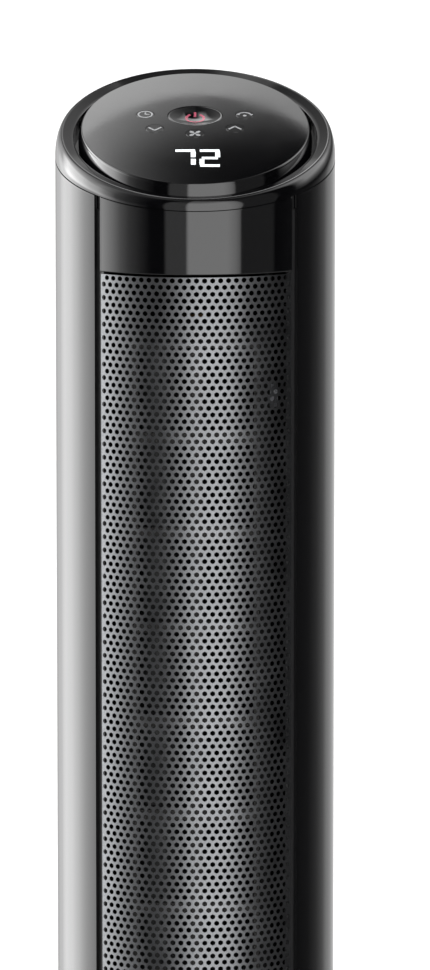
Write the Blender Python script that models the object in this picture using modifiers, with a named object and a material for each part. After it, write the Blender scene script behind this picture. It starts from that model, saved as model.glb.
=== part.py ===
"""Tower fan heater with a slanted control top, standing on a swivel base.

Frame: metres, +Z up, the front faces -Y, the origin is on the floor under the base's centre.
Angles round the column are measured from the front and grow towards +X.
"""
import math

import bmesh
import bpy
from mathutils import Matrix, Vector

# Clearances and cuts
GAP = 0.0003             # between pieces that rest on or fit in each other
RUN_GAP = 0.0008         # round spinning pieces and toothed wheels
OVERRUN = 0.002          # how far a cut runs past the face that it opens
LAP = 0.0006             # how deep shapes of one moulding reach into each other

# Whole object
OVERALL_HEIGHT = 0.762
BODY_RADIUS = 0.089
SHELL_WALL = 0.0025
BASE_RADIUS = 0.125
BASE_HEIGHT = 0.035

# Slanted top
SEAM_TILT = math.radians(16.3)       # joint between shell and ring
CREST_TILT = math.radians(22)        # plane of the ring's crest and of the control disc
RING_RISE = 0.0157                   # crest plane above seam plane at the column's axis
CREST_INSET = 0.0045                 # the crest's place inside the outer wall
SHOULDER_DEPTH = 0.0048              # height of the ring's rounded outer shoulder
RING_FALL = 0.0030                   # how far the ring's top falls inwards
RING_WIDTH = 0.0118                  # outer wall to the groove
RING_SEAM = 0.0005                   # open joint under the ring
RING_SKIRT_DEPTH = 0.009             # skirt that locates the ring inside the shell
RING_SKIRT_WALL = 0.002
GROOVE_WIDTH = 0.003
LEDGE_DEPTH = 0.0095                 # ledge that carries the control disc, below the crest plane
LEDGE_WALL = 0.0025
LEDGE_WIDTH = 0.018

# Front panel
SHELL_EDGE_ANGLE = math.radians(45.65)
PANEL_EDGE_ANGLE = math.radians(43)
RAIL_OVERLAP_ANGLE = math.radians(3)
BAND_INSET = 0.0004
BAND_WALL = 0.0021
BAND_FRONT_HEIGHT = 0.0397
LOWER_BAND_HEIGHT = 0.066
BAND_GAP = 0.0016                    # dark joint between a band and the grille
SHEET_THICKNESS = 0.001
RAIL_WALL = 0.0025
HOLE_COLUMNS = 10
HOLE_ROWS = 20
HOLE_WEB_SHARE = 0.20                # web on each side of a hole, as a share of its cell

# Base
FOOT_COUNT = 4
FOOT_HEIGHT = 0.004
FOOT_RADIUS = 0.011
FOOT_STEM_RADIUS = 0.004
FOOT_INSET = 0.024
BOSS_INSET = 0.039
PLATE_THICKNESS = 0.0025
COVER_WALL = 0.003
COVER_SKIRT = 0.008
COVER_EDGE = 0.007                   # rounding between skirt and slope
COVER_EDGE_ANGLE = math.radians(60)
CROWN_INSET = 0.034
BASE_SCREW_COUNT = 3
BOSS_RADIUS = 0.0045
BALLAST_THICKNESS = 0.010
BALLAST_WIDTH = 0.014
BALLAST_CLEARANCE = 0.0015           # from the cover's bosses and from the gearmotor

# Swivel
HUB_RADIUS = 0.022
HUB_BORE = 0.014
RACE_RADIUS = 0.056
RACE_WIDTH = 0.010
RACE_HEIGHT = 0.002
GEAR_TEETH = 36
PINION_TEETH = 9
TOOTH_ROOT_SHARE = 2.3               # tooth depth below the pitch circle, in half modules
TOOTH_TIP_SHARE = 1.6                # tooth height above it, in half modules
ROOT_HALF_SHARE = 0.25               # half a tooth's width, as shares of the pitch angle
TIP_HALF_SHARE = 0.09
NUT_SIDES = 6
GEAR_PITCH_RADIUS = 0.030
GEAR_WIDTH = 0.006
NUT_RADIUS = 0.0285
NUT_HEIGHT = 0.004
OSC_MOTOR_RADIUS = 0.024
OSC_MOTOR_HEADROOM = 0.0023          # under the hub
PINION_SHAFT_RADIUS = 0.003

# Tower inside
FLOOR_THICKNESS = 0.003
SHELL_LIFT = 0.001                   # shell's lower edge above the tower floor's underside
DECK_THICKNESS = 0.003
LOWER_DECK_LIFT = 0.066              # above the tower floor
UPPER_DECK_DROP = 0.040              # below the upper band's lower edge
LUG_SIZE = 0.010
SCREW_RADIUS = 0.0015
SCREW_HEAD_RADIUS = 0.003
SCREW_HEAD_HEIGHT = 0.0016
SCREW_LENGTH = 0.008
SHELL_SCREW_ANGLE = math.radians(130)

# Blower and motor
BLOWER_Y = 0.012
WHEEL_ROOM = 0.0505                  # shell's inner face to the wheel's rim, beside it
WHEEL_DISC = 0.003
WHEEL_END_GAP = 0.003
WHEEL_DISC_SHARES = (0, 0.5, 1)
BLADE_COUNT = 12
BLADE_CHORD = 0.008
BLADE_THICKNESS = 0.0012
SHAFT_RADIUS = 0.003
ROTOR_RADIUS = 0.0165
STATOR_HALF_WIDTH = 0.028
STATOR_FRONT = 0.028                 # before the blower's axis
STATOR_REAR = 0.050                  # behind it
STATOR_HEIGHT = 0.018
STATOR_DROP = 0.010                  # under the lower deck
COIL_LEG_HALF = 0.009
COIL_WINDOW = 0.011
COIL_FRONT = 0.026                   # window's near side, behind the blower's axis
COIL_LENGTH = 0.014
COIL_WALL = 0.005                    # winding above and below the lamination
BRACKET_HEIGHT = 0.004
BRACKET_WIDTH = 0.016
PILLAR_RADIUS = 0.004
BUSH_RADIUS = 0.008
BUSH_FLANGE_RADIUS = 0.011
BUSH_FLANGE = 0.002
SCROLL_ROOM = 0.0455                 # shell's inner face to the guides, beside them
SCROLL_WALL = 0.002
GUIDE_FRONT_ANGLE = math.radians(90)
SCROLL_REAR_ANGLE = math.radians(150)
TONGUE_REAR_ANGLE = math.radians(110)

# Heating element
CORE_ROOM = 0.0465                   # shell's inner face to the core's side
CORE_DEPTH = 0.016
CORE_STANDOFF = 0.012                # before the blower wheel
CORE_COLUMNS = 2
CORE_ROWS = 8
CORE_WEB_SHARE = 0.12
FRAME_BORDER = 0.006
CUTOUT_RADIUS = 0.008
CUTOUT_DEPTH = 0.005
SENSOR_HEIGHT = 0.020
SENSOR_RADIUS = 0.003
SENSOR_INSET = 0.012

# Electronics and wiring
BOARD_THICKNESS = 0.0016
BOARD_SIDE_ROOM = 0.0365             # shell's inner face to the board's edges
BOARD_END_ROOM = 0.0425
BOARD_POST_HEIGHT = 0.005
RELAY_SIZE = 0.013
RELAY_SHARES = (-0.6, -0.1, 0.4)
HARNESS_RADIUS = 0.0022
HARNESS_PLACE_SHARES = (0.794, 0.507)   # of the radius of the ring's bore

# Rear intake
INTAKE_HALF_WIDTH = 0.036
INTAKE_END_MARGIN = 0.040            # from the decks to the window's ends
INTAKE_COLUMNS = 6
INTAKE_ROWS = 6
INTAKE_WEB_SHARE = 0.10
FILTER_THICKNESS = 0.0028
FILTER_INSET = 0.003
INLET_HEIGHT = 0.034                 # above the tower floor
INLET_FLANGE_RADIUS = 0.009
INLET_SHANK_RADIUS = 0.006
INLET_BORE = 0.004
INLET_FLANGE = 0.002

# Control disc
CAP_RISE = 0.0032                    # its top edge above the crest plane
CAP_DOME = 0.0015                    # extra height in the middle
CAP_EDGE = 0.0025                    # rounded top edge
CAP_WALL = 0.0022
CAP_UNDERSIDE = 0.0016               # flat underside above the crest plane
CONTROL_BASE_THICKNESS = 0.002
CONTROL_BOARD_DROP = 0.0050          # board's underside below the crest plane, square to it
CONTROL_BOARD_SHARES = (0.593, 0.782, 0.485)   # half width, front and rear, of the disc's radius
SWITCH_SIZE = 0.006
SWITCH_HEIGHT = 0.0015
KEY_RADIUS = 0.0058
POWER_HALF_WIDTH = 0.0175
POWER_HALF_DEPTH = 0.0140
POWER_DISH_DEPTH = 0.0022
KEY_FLANGE = 0.0012
KEY_FLANGE_HEIGHT = 0.0010
STEM_RADIUS = 0.002
DOME_SHARES = (0, 0.35, 0.7)
DISH_SHARES = (0, 0.35, 0.7, 1)
POWER_TRAVEL = 0.0012
KEY_TRAVEL = 0.0008
POWER_PLACE = (0.0, 0.0156)
KEY_PLACES = {
    "key_timer": (-0.0317, 0.0178),
    "key_down": (-0.0257, -0.0023),
    "key_mode": (-0.0003, -0.0096),
    "key_up": (0.0251, -0.0020),
    "key_swing": (0.0316, 0.0173),
}
DISPLAY_CENTRE_SHARE = -0.5755       # of the disc's radius
DISPLAY_HALF_WIDTH = 0.019
DISPLAY_HALF_DEPTH = 0.014

# Mesh fineness
BODY_STEPS = 48
INNER_STEPS = 32
SMALL_STEPS = 12
SCREW_STEPS = 8
ARC_STEPS = 3

# Heights worked out from the sizes above
CREST_HEIGHT = OVERALL_HEIGHT - (BODY_RADIUS - CREST_INSET) * math.tan(CREST_TILT)
SEAM_HEIGHT = CREST_HEIGHT - RING_RISE
PLATE_BOTTOM = FOOT_HEIGHT + GAP
PLATE_TOP = PLATE_BOTTOM + PLATE_THICKNESS
RACE_BOTTOM = BASE_HEIGHT + GAP
FLOOR_BOTTOM = RACE_BOTTOM + RACE_HEIGHT + GAP
FLOOR_TOP = FLOOR_BOTTOM + FLOOR_THICKNESS
SHELL_BOTTOM = FLOOR_BOTTOM + SHELL_LIFT
GEAR_TOP = BASE_HEIGHT - COVER_WALL - GAP
GEAR_BOTTOM = GEAR_TOP - GEAR_WIDTH
NUT_TOP = GEAR_BOTTOM - GAP
HUB_BOTTOM = NUT_TOP - NUT_HEIGHT
OSC_MOTOR_HEIGHT = HUB_BOTTOM - OSC_MOTOR_HEADROOM - PLATE_TOP - GAP
BAND_BOTTOM = SEAM_HEIGHT - BODY_RADIUS * math.tan(SEAM_TILT) - BAND_FRONT_HEIGHT
SHEET_TOP = BAND_BOTTOM - BAND_GAP
LOWER_BAND_TOP = SHELL_BOTTOM + LOWER_BAND_HEIGHT
SHEET_BOTTOM = LOWER_BAND_TOP + BAND_GAP
LOWER_DECK = FLOOR_TOP + LOWER_DECK_LIFT
UPPER_DECK = BAND_BOTTOM - UPPER_DECK_DROP
CHAMBER_BOTTOM = LOWER_DECK + DECK_THICKNESS + GAP
CHAMBER_TOP = UPPER_DECK - GAP
SWITCH_TOP = BOARD_THICKNESS + SWITCH_HEIGHT - CONTROL_BOARD_DROP

# Radii worked out from the sizes above
SHELL_INNER = BODY_RADIUS - SHELL_WALL
DECK_RADIUS = SHELL_INNER - GAP
BAND_RADIUS = BODY_RADIUS - BAND_INSET
BAND_INNER = BAND_RADIUS - BAND_WALL
RAIL_RADIUS = DECK_RADIUS
SHEET_RADIUS = RAIL_RADIUS + GAP + SHEET_THICKNESS
DECK_CHORD = (RAIL_RADIUS - RAIL_WALL) * math.cos(SHELL_EDGE_ANGLE + RAIL_OVERLAP_ANGLE) - GAP
GROOVE_RADIUS = BODY_RADIUS - RING_WIDTH
CAP_RADIUS = GROOVE_RADIUS - GROOVE_WIDTH
LEDGE_RADIUS = GROOVE_RADIUS - LEDGE_WIDTH
BALLAST_OUTER = BASE_RADIUS - BOSS_INSET - BOSS_RADIUS - BALLAST_CLEARANCE
BALLAST_INNER = BALLAST_OUTER - BALLAST_WIDTH
WHEEL_RADIUS = SHELL_INNER - WHEEL_ROOM
SCROLL_RADIUS = SHELL_INNER - SCROLL_ROOM
CORE_HALF_WIDTH = SHELL_INNER - CORE_ROOM
CORE_REAR = WHEEL_RADIUS + CORE_STANDOFF - BLOWER_Y   # before the column's axis
BOARD_HALF_WIDTH = SHELL_INNER - BOARD_SIDE_ROOM
BOARD_HALF_DEPTH = SHELL_INNER - BOARD_END_ROOM
HARNESS_X, HARNESS_Y = [share * LEDGE_RADIUS for share in HARNESS_PLACE_SHARES]
CONTROL_BOARD_HALF_WIDTH, CONTROL_BOARD_FRONT, CONTROL_BOARD_REAR = [
    share * CAP_RADIUS for share in CONTROL_BOARD_SHARES]
DISPLAY_CENTRE = DISPLAY_CENTRE_SHARE * CAP_RADIUS
PINION_PITCH_RADIUS = GEAR_PITCH_RADIUS * PINION_TEETH / GEAR_TEETH
PINION_Y = GEAR_PITCH_RADIUS + PINION_PITCH_RADIUS + GAP
TOOTH_SIZE = GEAR_PITCH_RADIUS / GEAR_TEETH


def seam_height(y):
    """Height of the joint between shell and ring."""
    return SEAM_HEIGHT + y * math.tan(SEAM_TILT)


def crest_height(y):
    """Height of the plane through the ring's crest."""
    return CREST_HEIGHT + y * math.tan(CREST_TILT)


def polar(radius, angle):
    """Plan position at an angle from the front."""
    return radius * math.sin(angle), -radius * math.cos(angle)


# Looks: base colour, roughness, metallic
LOOKS = {
    "gloss_black": ((0.012, 0.012, 0.013), 0.10, 0.0),
    "satin_black": ((0.020, 0.020, 0.021), 0.45, 0.0),
    "grille_grey": ((0.150, 0.150, 0.155), 0.35, 0.6),
    "zinc_steel": ((0.520, 0.520, 0.500), 0.35, 1.0),
    "bright_steel": ((0.600, 0.600, 0.610), 0.25, 1.0),
    "rubber": ((0.030, 0.030, 0.030), 0.85, 0.0),
    "white_nylon": ((0.700, 0.690, 0.650), 0.45, 0.0),
    "grey_resin": ((0.180, 0.185, 0.190), 0.55, 0.0),
    "aluminium_fins": ((0.620, 0.620, 0.630), 0.30, 1.0),
    "copper_wire": ((0.700, 0.300, 0.150), 0.35, 1.0),
    "circuit_green": ((0.020, 0.160, 0.060), 0.40, 0.0),
    "bronze": ((0.550, 0.350, 0.150), 0.40, 1.0),
    "foam": ((0.050, 0.050, 0.055), 0.95, 0.0),
}


def clear_scene():
    """Start from an empty scene."""
    for obj in list(bpy.data.objects):
        bpy.data.objects.remove(obj, do_unlink=True)


def new_collection(name):
    """Collection linked to the scene."""
    collection = bpy.data.collections.new(name)
    bpy.context.scene.collection.children.link(collection)
    return collection


clear_scene()
PARTS = new_collection("tower_heater")
CUTTERS = new_collection("cutters")


# Shapes

def box_shape(bm, low, high):
    """Box between two corners."""
    verts = bmesh.ops.create_cube(bm, size=1)["verts"]
    low, high = Vector(low), Vector(high)
    bmesh.ops.scale(bm, vec=high - low, verts=verts)
    bmesh.ops.translate(bm, vec=(low + high) / 2, verts=verts)
    return verts


def round_shape(bm, radius, bottom, top, x=0, y=0, steps=SMALL_STEPS, stretch=1):
    """Upright cylinder, or an oval one where its depth is stretched."""
    made = bmesh.ops.create_cone(bm, cap_ends=True, segments=steps, radius1=radius,
                                 radius2=radius, depth=top - bottom)
    verts = made["verts"]
    bmesh.ops.scale(bm, vec=(1, stretch, 1), verts=verts)
    bmesh.ops.translate(bm, vec=(x, y, (bottom + top) / 2), verts=verts)
    return verts


def outline_edges(bm, outline, closed=True):
    """Edges of a (radius, height) outline in the plane that faces the front."""
    verts = [bm.verts.new((0, -radius, height)) for radius, height in outline]
    pairs = list(zip(verts, verts[1:]))
    if closed:
        pairs.append((verts[-1], verts[0]))
    return verts + [bm.edges.new(pair) for pair in pairs]


def turned_shape(bm, outline, steps=BODY_STEPS, closed=True):
    """Full turn of an outline; an open one starts and ends on the axis."""
    geometry = outline_edges(bm, outline, closed)
    bmesh.ops.spin(bm, geom=geometry, axis=(0, 0, 1), angle=2 * math.pi, steps=steps, use_merge=True)
    if not closed:
        bmesh.ops.remove_doubles(bm, verts=bm.verts, dist=GAP / 10)


def swept_shape(bm, outline, start, end, steps):
    """Turn of a closed outline between two angles from the front, its ends filled."""
    geometry = outline_edges(bm, outline)
    corners = [item for item in geometry if isinstance(item, bmesh.types.BMVert)]
    bmesh.ops.rotate(bm, matrix=Matrix.Rotation(start, 3, "Z"), verts=corners)
    bmesh.ops.spin(bm, geom=geometry, axis=(0, 0, 1), angle=end - start, steps=steps)
    ends = [edge for edge in bm.edges if edge.is_boundary]
    bmesh.ops.holes_fill(bm, edges=ends, sides=0)


def wall_outline(inner, outer, bottom, top):
    """Outline of a plain wall."""
    return [(outer, bottom), (outer, top), (inner, top), (inner, bottom)]


def lift_top(bm, above, height_at):
    """Lay every point that is higher than a level on a slanting plane."""
    for vert in bm.verts:
        if vert.co.z > above:
            vert.co.z = height_at(vert.co.y)


def slotted_grid(columns, rows, half_width, half_height, web_share, is_open):
    """Flat grid with a hole in each cell that is_open picks."""
    bm = bmesh.new()
    bmesh.ops.create_grid(bm, x_segments=columns, y_segments=rows, size=1)
    bmesh.ops.scale(bm, vec=(half_width, half_height, 1), verts=bm.verts)
    cell_width = 2 * half_width / columns
    cell_height = 2 * half_height / rows
    picked = []
    for face in bm.faces:
        centre = face.calc_center_median()
        column = int((centre.x + half_width) / cell_width)
        row = int((centre.y + half_height) / cell_height)
        if is_open(column, row):
            picked.append(face)
    bmesh.ops.inset_individual(bm, faces=picked, thickness=web_share * cell_width)
    bmesh.ops.delete(bm, geom=picked, context="FACES_ONLY")
    return bm


def wrap_round(bm, radius, middle_height, facing):
    """Bend a flat grid round the column, its middle at the angle that it faces."""
    for vert in bm.verts:
        x, y = polar(radius, facing + vert.co.x / radius)
        vert.co = (x, y, middle_height + vert.co.y)


# Objects

def material(name, look):
    """Principled material of one part."""
    colour, roughness, metallic = LOOKS[look]
    made = bpy.data.materials.new(f"{name}_{look}")
    made.use_nodes = True
    shader = made.node_tree.nodes["Principled BSDF"]
    shader.inputs["Base Color"].default_value = (*colour, 1)
    shader.inputs["Roughness"].default_value = roughness
    shader.inputs["Metallic"].default_value = metallic
    made.diffuse_color = (*colour, 1)
    return made


def mesh_of(name, bm, closed=True):
    """Mesh with its faces pointing out; an open sheet already has them so."""
    if closed:
        bmesh.ops.recalc_face_normals(bm, faces=bm.faces)
    mesh = bpy.data.meshes.new(name)
    bm.to_mesh(mesh)
    bm.free()
    return mesh


def part(name, bm, look, body, place=None, closed=True):
    """One named piece of the heater, hung on its body's empty."""
    mesh = mesh_of(name, bm, closed)
    mesh.materials.append(material(name, look))
    mesh.shade_smooth()
    mesh.set_sharp_from_angle(angle=math.radians(30))
    obj = bpy.data.objects.new(name, mesh)
    PARTS.objects.link(obj)
    obj.parent = body
    if place is not None:
        obj.matrix_local = place
    return obj


def shape_with(obj, bm, operation, place=None):
    """Cut, join or trim a piece with a hidden shape in the piece's own coordinates."""
    tool = bpy.data.objects.new(f"{obj.name}_{operation.lower()}", mesh_of(obj.name, bm))
    CUTTERS.objects.link(tool)
    tool.parent = obj
    if place is not None:
        tool.matrix_local = place
    tool.hide_render = True
    tool.display_type = "WIRE"
    modifier = obj.modifiers.new(operation.lower(), "BOOLEAN")
    modifier.operation = operation
    modifier.solver = "EXACT"
    modifier.object = tool


def thicken(obj, thickness):
    """Give an open sheet its thickness, inwards from its outer face."""
    modifier = obj.modifiers.new("thickness", "SOLIDIFY")
    modifier.thickness = thickness
    modifier.offset = -1
    modifier.use_even_offset = True


def body_empty(name, place=(0, 0, 0), parent=None):
    """Empty on a moving body's axis."""
    empty = bpy.data.objects.new(name, None)
    PARTS.objects.link(empty)
    empty.location = place
    empty.parent = parent
    return empty


TILTED = Matrix.Translation((0, 0, CREST_HEIGHT)) @ Matrix.Rotation(CREST_TILT, 4, "X")


def screw(name, body, place):
    """Round-head screw: its head is under the local origin, its shank points along local +Z."""
    bm = bmesh.new()
    outline = [(0, -SCREW_HEAD_HEIGHT), (SCREW_HEAD_RADIUS, -SCREW_HEAD_HEIGHT), (SCREW_HEAD_RADIUS, 0),
               (SCREW_RADIUS, 0), (SCREW_RADIUS, SCREW_LENGTH), (0, SCREW_LENGTH)]
    turned_shape(bm, outline, steps=SCREW_STEPS, closed=False)
    part(name, bm, "bright_steel", body, place)


# Base

def slope_outline(wall):
    """Outside of the base cover's rounded edge and slope, or its inside a wall further in."""
    skirt_top = PLATE_BOTTOM + COVER_SKIRT
    points = []
    for step in range(ARC_STEPS):
        angle = COVER_EDGE_ANGLE * step / (ARC_STEPS - 1)
        points.append((BASE_RADIUS - COVER_EDGE + (COVER_EDGE - wall) * math.cos(angle),
                       skirt_top + (COVER_EDGE - wall) * math.sin(angle)))
    return points + [(BASE_RADIUS - CROWN_INSET, BASE_HEIGHT - wall)]


def around(count, radius, first=0.0):
    """Evenly spaced plan positions on a circle."""
    return [polar(radius, first + 2 * math.pi * index / count) for index in range(count)]


SCREW_PLACES = around(BASE_SCREW_COUNT, BASE_RADIUS - BOSS_INSET)
FOOT_PLACES = around(FOOT_COUNT, BASE_RADIUS - FOOT_INSET, math.pi / FOOT_COUNT)


def make_base_cover(body):
    """Moulded cover with a hole for the hub and bosses for the plate's screws."""
    bm = bmesh.new()
    hole = HUB_RADIUS + GAP
    inside = slope_outline(COVER_WALL)
    outline = [(BASE_RADIUS, PLATE_BOTTOM)] + slope_outline(0)
    outline += [(hole, BASE_HEIGHT), (hole, BASE_HEIGHT - COVER_WALL)]
    outline += inside[::-1] + [(BASE_RADIUS - COVER_WALL, PLATE_BOTTOM)]
    turned_shape(bm, outline)
    cover = part("base_cover", bm, "gloss_black", body)
    bosses = bmesh.new()
    bores = bmesh.new()
    for x, y in SCREW_PLACES:
        round_shape(bosses, BOSS_RADIUS, PLATE_TOP + GAP, BASE_HEIGHT - COVER_WALL + LAP, x, y)
        round_shape(bores, SCREW_RADIUS + GAP, PLATE_TOP - OVERRUN, PLATE_BOTTOM + SCREW_LENGTH + GAP, x, y)
    shape_with(cover, bosses, "UNION")
    shape_with(cover, bores, "DIFFERENCE")


def make_base_plate(body):
    """Steel plate inside the cover's skirt, held by screws and carrying the feet."""
    bm = bmesh.new()
    round_shape(bm, BASE_RADIUS - COVER_WALL - GAP, PLATE_BOTTOM, PLATE_TOP, steps=INNER_STEPS)
    plate = part("base_plate", bm, "zinc_steel", body)
    holes = bmesh.new()
    for x, y in SCREW_PLACES:
        round_shape(holes, SCREW_RADIUS + GAP, PLATE_BOTTOM - OVERRUN, PLATE_TOP + OVERRUN, x, y)
    for x, y in FOOT_PLACES:
        round_shape(holes, FOOT_STEM_RADIUS + GAP, PLATE_BOTTOM - OVERRUN, PLATE_TOP + OVERRUN, x, y)
    shape_with(plate, holes, "DIFFERENCE")
    for number, (x, y) in enumerate(SCREW_PLACES, 1):
        screw(f"base_screw_{number}", body, Matrix.Translation((x, y, PLATE_BOTTOM - GAP)))


def make_feet(body):
    """Rubber pads with stems through the plate."""
    outline = [(0, 0), (FOOT_RADIUS, 0), (FOOT_RADIUS, FOOT_HEIGHT), (FOOT_STEM_RADIUS, FOOT_HEIGHT),
               (FOOT_STEM_RADIUS, PLATE_TOP), (0, PLATE_TOP)]
    for number, (x, y) in enumerate(FOOT_PLACES, 1):
        bm = bmesh.new()
        turned_shape(bm, outline, steps=SMALL_STEPS, closed=False)
        part(f"rubber_foot_{number}", bm, "rubber", body, Matrix.Translation((x, y, 0)))


def make_base_inside(body):
    """Ballast ring on the plate, glide ring on the cover and the flat gearmotor."""
    bm = bmesh.new()
    bottom = PLATE_TOP + GAP
    turned_shape(bm, wall_outline(BALLAST_INNER, BALLAST_OUTER, bottom, bottom + BALLAST_THICKNESS),
                 steps=INNER_STEPS)
    ballast = part("ballast_ring", bm, "zinc_steel", body)
    cut_bottom = bottom - OVERRUN
    cut_top = bottom + BALLAST_THICKNESS + OVERRUN
    ear = OSC_MOTOR_RADIUS + BOSS_RADIUS + BALLAST_CLEARANCE
    side = BOSS_RADIUS + BALLAST_CLEARANCE
    notch = bmesh.new()
    round_shape(notch, OSC_MOTOR_RADIUS + BALLAST_CLEARANCE, cut_bottom, cut_top, y=PINION_Y)
    shape_with(ballast, notch, "DIFFERENCE")
    notch = bmesh.new()
    box_shape(notch, (-ear, PINION_Y - side, cut_bottom), (ear, PINION_Y + side, cut_top))
    shape_with(ballast, notch, "DIFFERENCE")

    bm = bmesh.new()
    inner = RACE_RADIUS - RACE_WIDTH / 2
    turned_shape(bm, wall_outline(inner, inner + RACE_WIDTH, RACE_BOTTOM, RACE_BOTTOM + RACE_HEIGHT),
                 steps=INNER_STEPS)
    part("swivel_race", bm, "white_nylon", body)

    bm = bmesh.new()
    top = bottom + OSC_MOTOR_HEIGHT
    round_shape(bm, OSC_MOTOR_RADIUS, bottom, top, y=PINION_Y, steps=2 * SMALL_STEPS)
    motor = part("oscillation_motor", bm, "zinc_steel", body)
    ears = bmesh.new()
    ear = OSC_MOTOR_RADIUS + BOSS_RADIUS
    box_shape(ears, (-ear, PINION_Y - BOSS_RADIUS, bottom),
              (ear, PINION_Y + BOSS_RADIUS, bottom + PLATE_THICKNESS))
    shape_with(motor, ears, "UNION")
    bore = bmesh.new()
    round_shape(bore, PINION_SHAFT_RADIUS + GAP, (bottom + top) / 2, top + OVERRUN, y=PINION_Y)
    shape_with(motor, bore, "DIFFERENCE")


# Toothed wheels

def toothed_disc(bm, teeth, pitch_radius, first, bottom, top):
    """Spur gear blank; the angle first points at the middle of a tooth."""
    root_radius = pitch_radius - TOOTH_ROOT_SHARE * TOOTH_SIZE
    tip_radius = pitch_radius + TOOTH_TIP_SHARE * TOOTH_SIZE
    pitch = 2 * math.pi / teeth
    corners = []
    for tooth in range(teeth):
        middle = first + tooth * pitch
        for radius, share in ((root_radius, -ROOT_HALF_SHARE), (tip_radius, -TIP_HALF_SHARE),
                              (tip_radius, TIP_HALF_SHARE), (root_radius, ROOT_HALF_SHARE)):
            x, y = polar(radius, middle + share * pitch)
            corners.append(bm.verts.new((x, y, bottom)))
    face = bm.faces.new(corners)
    made = bmesh.ops.extrude_face_region(bm, geom=[face])["geom"]
    raised = [item for item in made if isinstance(item, bmesh.types.BMVert)]
    bmesh.ops.translate(bm, vec=(0, 0, top - bottom), verts=raised)


def make_hub_gear(body):
    """Gear and ring nut on the hub, under the base cover."""
    bm = bmesh.new()
    half_pitch = math.pi / GEAR_TEETH
    toothed_disc(bm, GEAR_TEETH, GEAR_PITCH_RADIUS, math.pi + half_pitch, GEAR_BOTTOM, GEAR_TOP)
    gear = part("hub_gear", bm, "white_nylon", body)
    bore = bmesh.new()
    round_shape(bore, HUB_RADIUS + GAP, GEAR_BOTTOM - OVERRUN, GEAR_TOP + OVERRUN, steps=INNER_STEPS)
    shape_with(gear, bore, "DIFFERENCE")

    bm = bmesh.new()
    round_shape(bm, NUT_RADIUS, HUB_BOTTOM, NUT_TOP, steps=NUT_SIDES)
    nut = part("hub_nut", bm, "zinc_steel", body)
    bore = bmesh.new()
    round_shape(bore, HUB_RADIUS + GAP, HUB_BOTTOM - OVERRUN, NUT_TOP + OVERRUN, steps=INNER_STEPS)
    shape_with(nut, bore, "DIFFERENCE")


def make_pinion(body):
    """Pinion on the gearmotor's shaft."""
    bm = bmesh.new()
    toothed_disc(bm, PINION_TEETH, PINION_PITCH_RADIUS, 0, GEAR_BOTTOM, GEAR_TOP)
    pinion = part("drive_pinion", bm, "white_nylon", body)
    shaft = bmesh.new()
    motor_bottom = PLATE_TOP + GAP
    shaft_bottom = motor_bottom + OSC_MOTOR_HEIGHT / 2 + GAP
    round_shape(shaft, PINION_SHAFT_RADIUS, shaft_bottom, GEAR_BOTTOM + LAP)
    shape_with(pinion, shaft, "UNION")


# Tower structure

BOARD_PLACES = [(side * (BOARD_HALF_WIDTH - PILLAR_RADIUS), end * (BOARD_HALF_DEPTH - PILLAR_RADIUS))
                for side in (-1, 1) for end in (-1, 1)]
LUG_SIDES = (-1, 1)


def lug_turn(side):
    """Turn that brings a shape before the axis to a shell screw's place."""
    return Matrix.Rotation(side * SHELL_SCREW_ANGLE, 4, "Z")


def add_lugs(obj, bottom):
    """Upright lugs at the shell's inner wall, bored for the shell's screws."""
    face = DECK_RADIUS - GAP
    for side in LUG_SIDES:
        lug = bmesh.new()
        box_shape(lug, (-LUG_SIZE / 2, -face, bottom - LAP),
                  (LUG_SIZE / 2, LUG_SIZE - face, bottom + LUG_SIZE))
        bmesh.ops.transform(lug, matrix=lug_turn(side), verts=lug.verts)
        shape_with(obj, lug, "UNION")
        bore = radial_cylinder(SCREW_RADIUS + GAP, SHELL_INNER - LUG_SIZE - OVERRUN, SHELL_INNER)
        place = lug_turn(side) @ Matrix.Translation((0, 0, bottom + LUG_SIZE / 2))
        shape_with(obj, bore, "DIFFERENCE", place)


def radial_cylinder(radius, inner, outer):
    """Cylinder along -Y between two distances from the axis."""
    bm = bmesh.new()
    round_shape(bm, radius, inner, outer)
    bmesh.ops.rotate(bm, matrix=Matrix.Rotation(math.pi / 2, 3, "X"), verts=bm.verts)
    return bm


def screw_heights():
    """Heights of the shell screws' axes: at the floor and above the upper deck."""
    return FLOOR_TOP + LUG_SIZE / 2, UPPER_DECK + DECK_THICKNESS + LUG_SIZE / 2


def make_tower_floor(body):
    """Floor disc and hub in one, with posts for the power board and lugs for the shell."""
    bm = bmesh.new()
    turned_shape(bm, [(HUB_BORE, HUB_BOTTOM), (HUB_RADIUS, HUB_BOTTOM), (HUB_RADIUS, FLOOR_BOTTOM),
                      (DECK_RADIUS, FLOOR_BOTTOM), (DECK_RADIUS, FLOOR_TOP), (HUB_BORE, FLOOR_TOP)],
                 steps=INNER_STEPS)
    floor = part("tower_floor", bm, "satin_black", body)
    posts = bmesh.new()
    for x, y in BOARD_PLACES:
        round_shape(posts, PILLAR_RADIUS, FLOOR_TOP - LAP, FLOOR_TOP + BOARD_POST_HEIGHT, x, y)
    shape_with(floor, posts, "UNION")
    add_lugs(floor, FLOOR_TOP)


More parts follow.
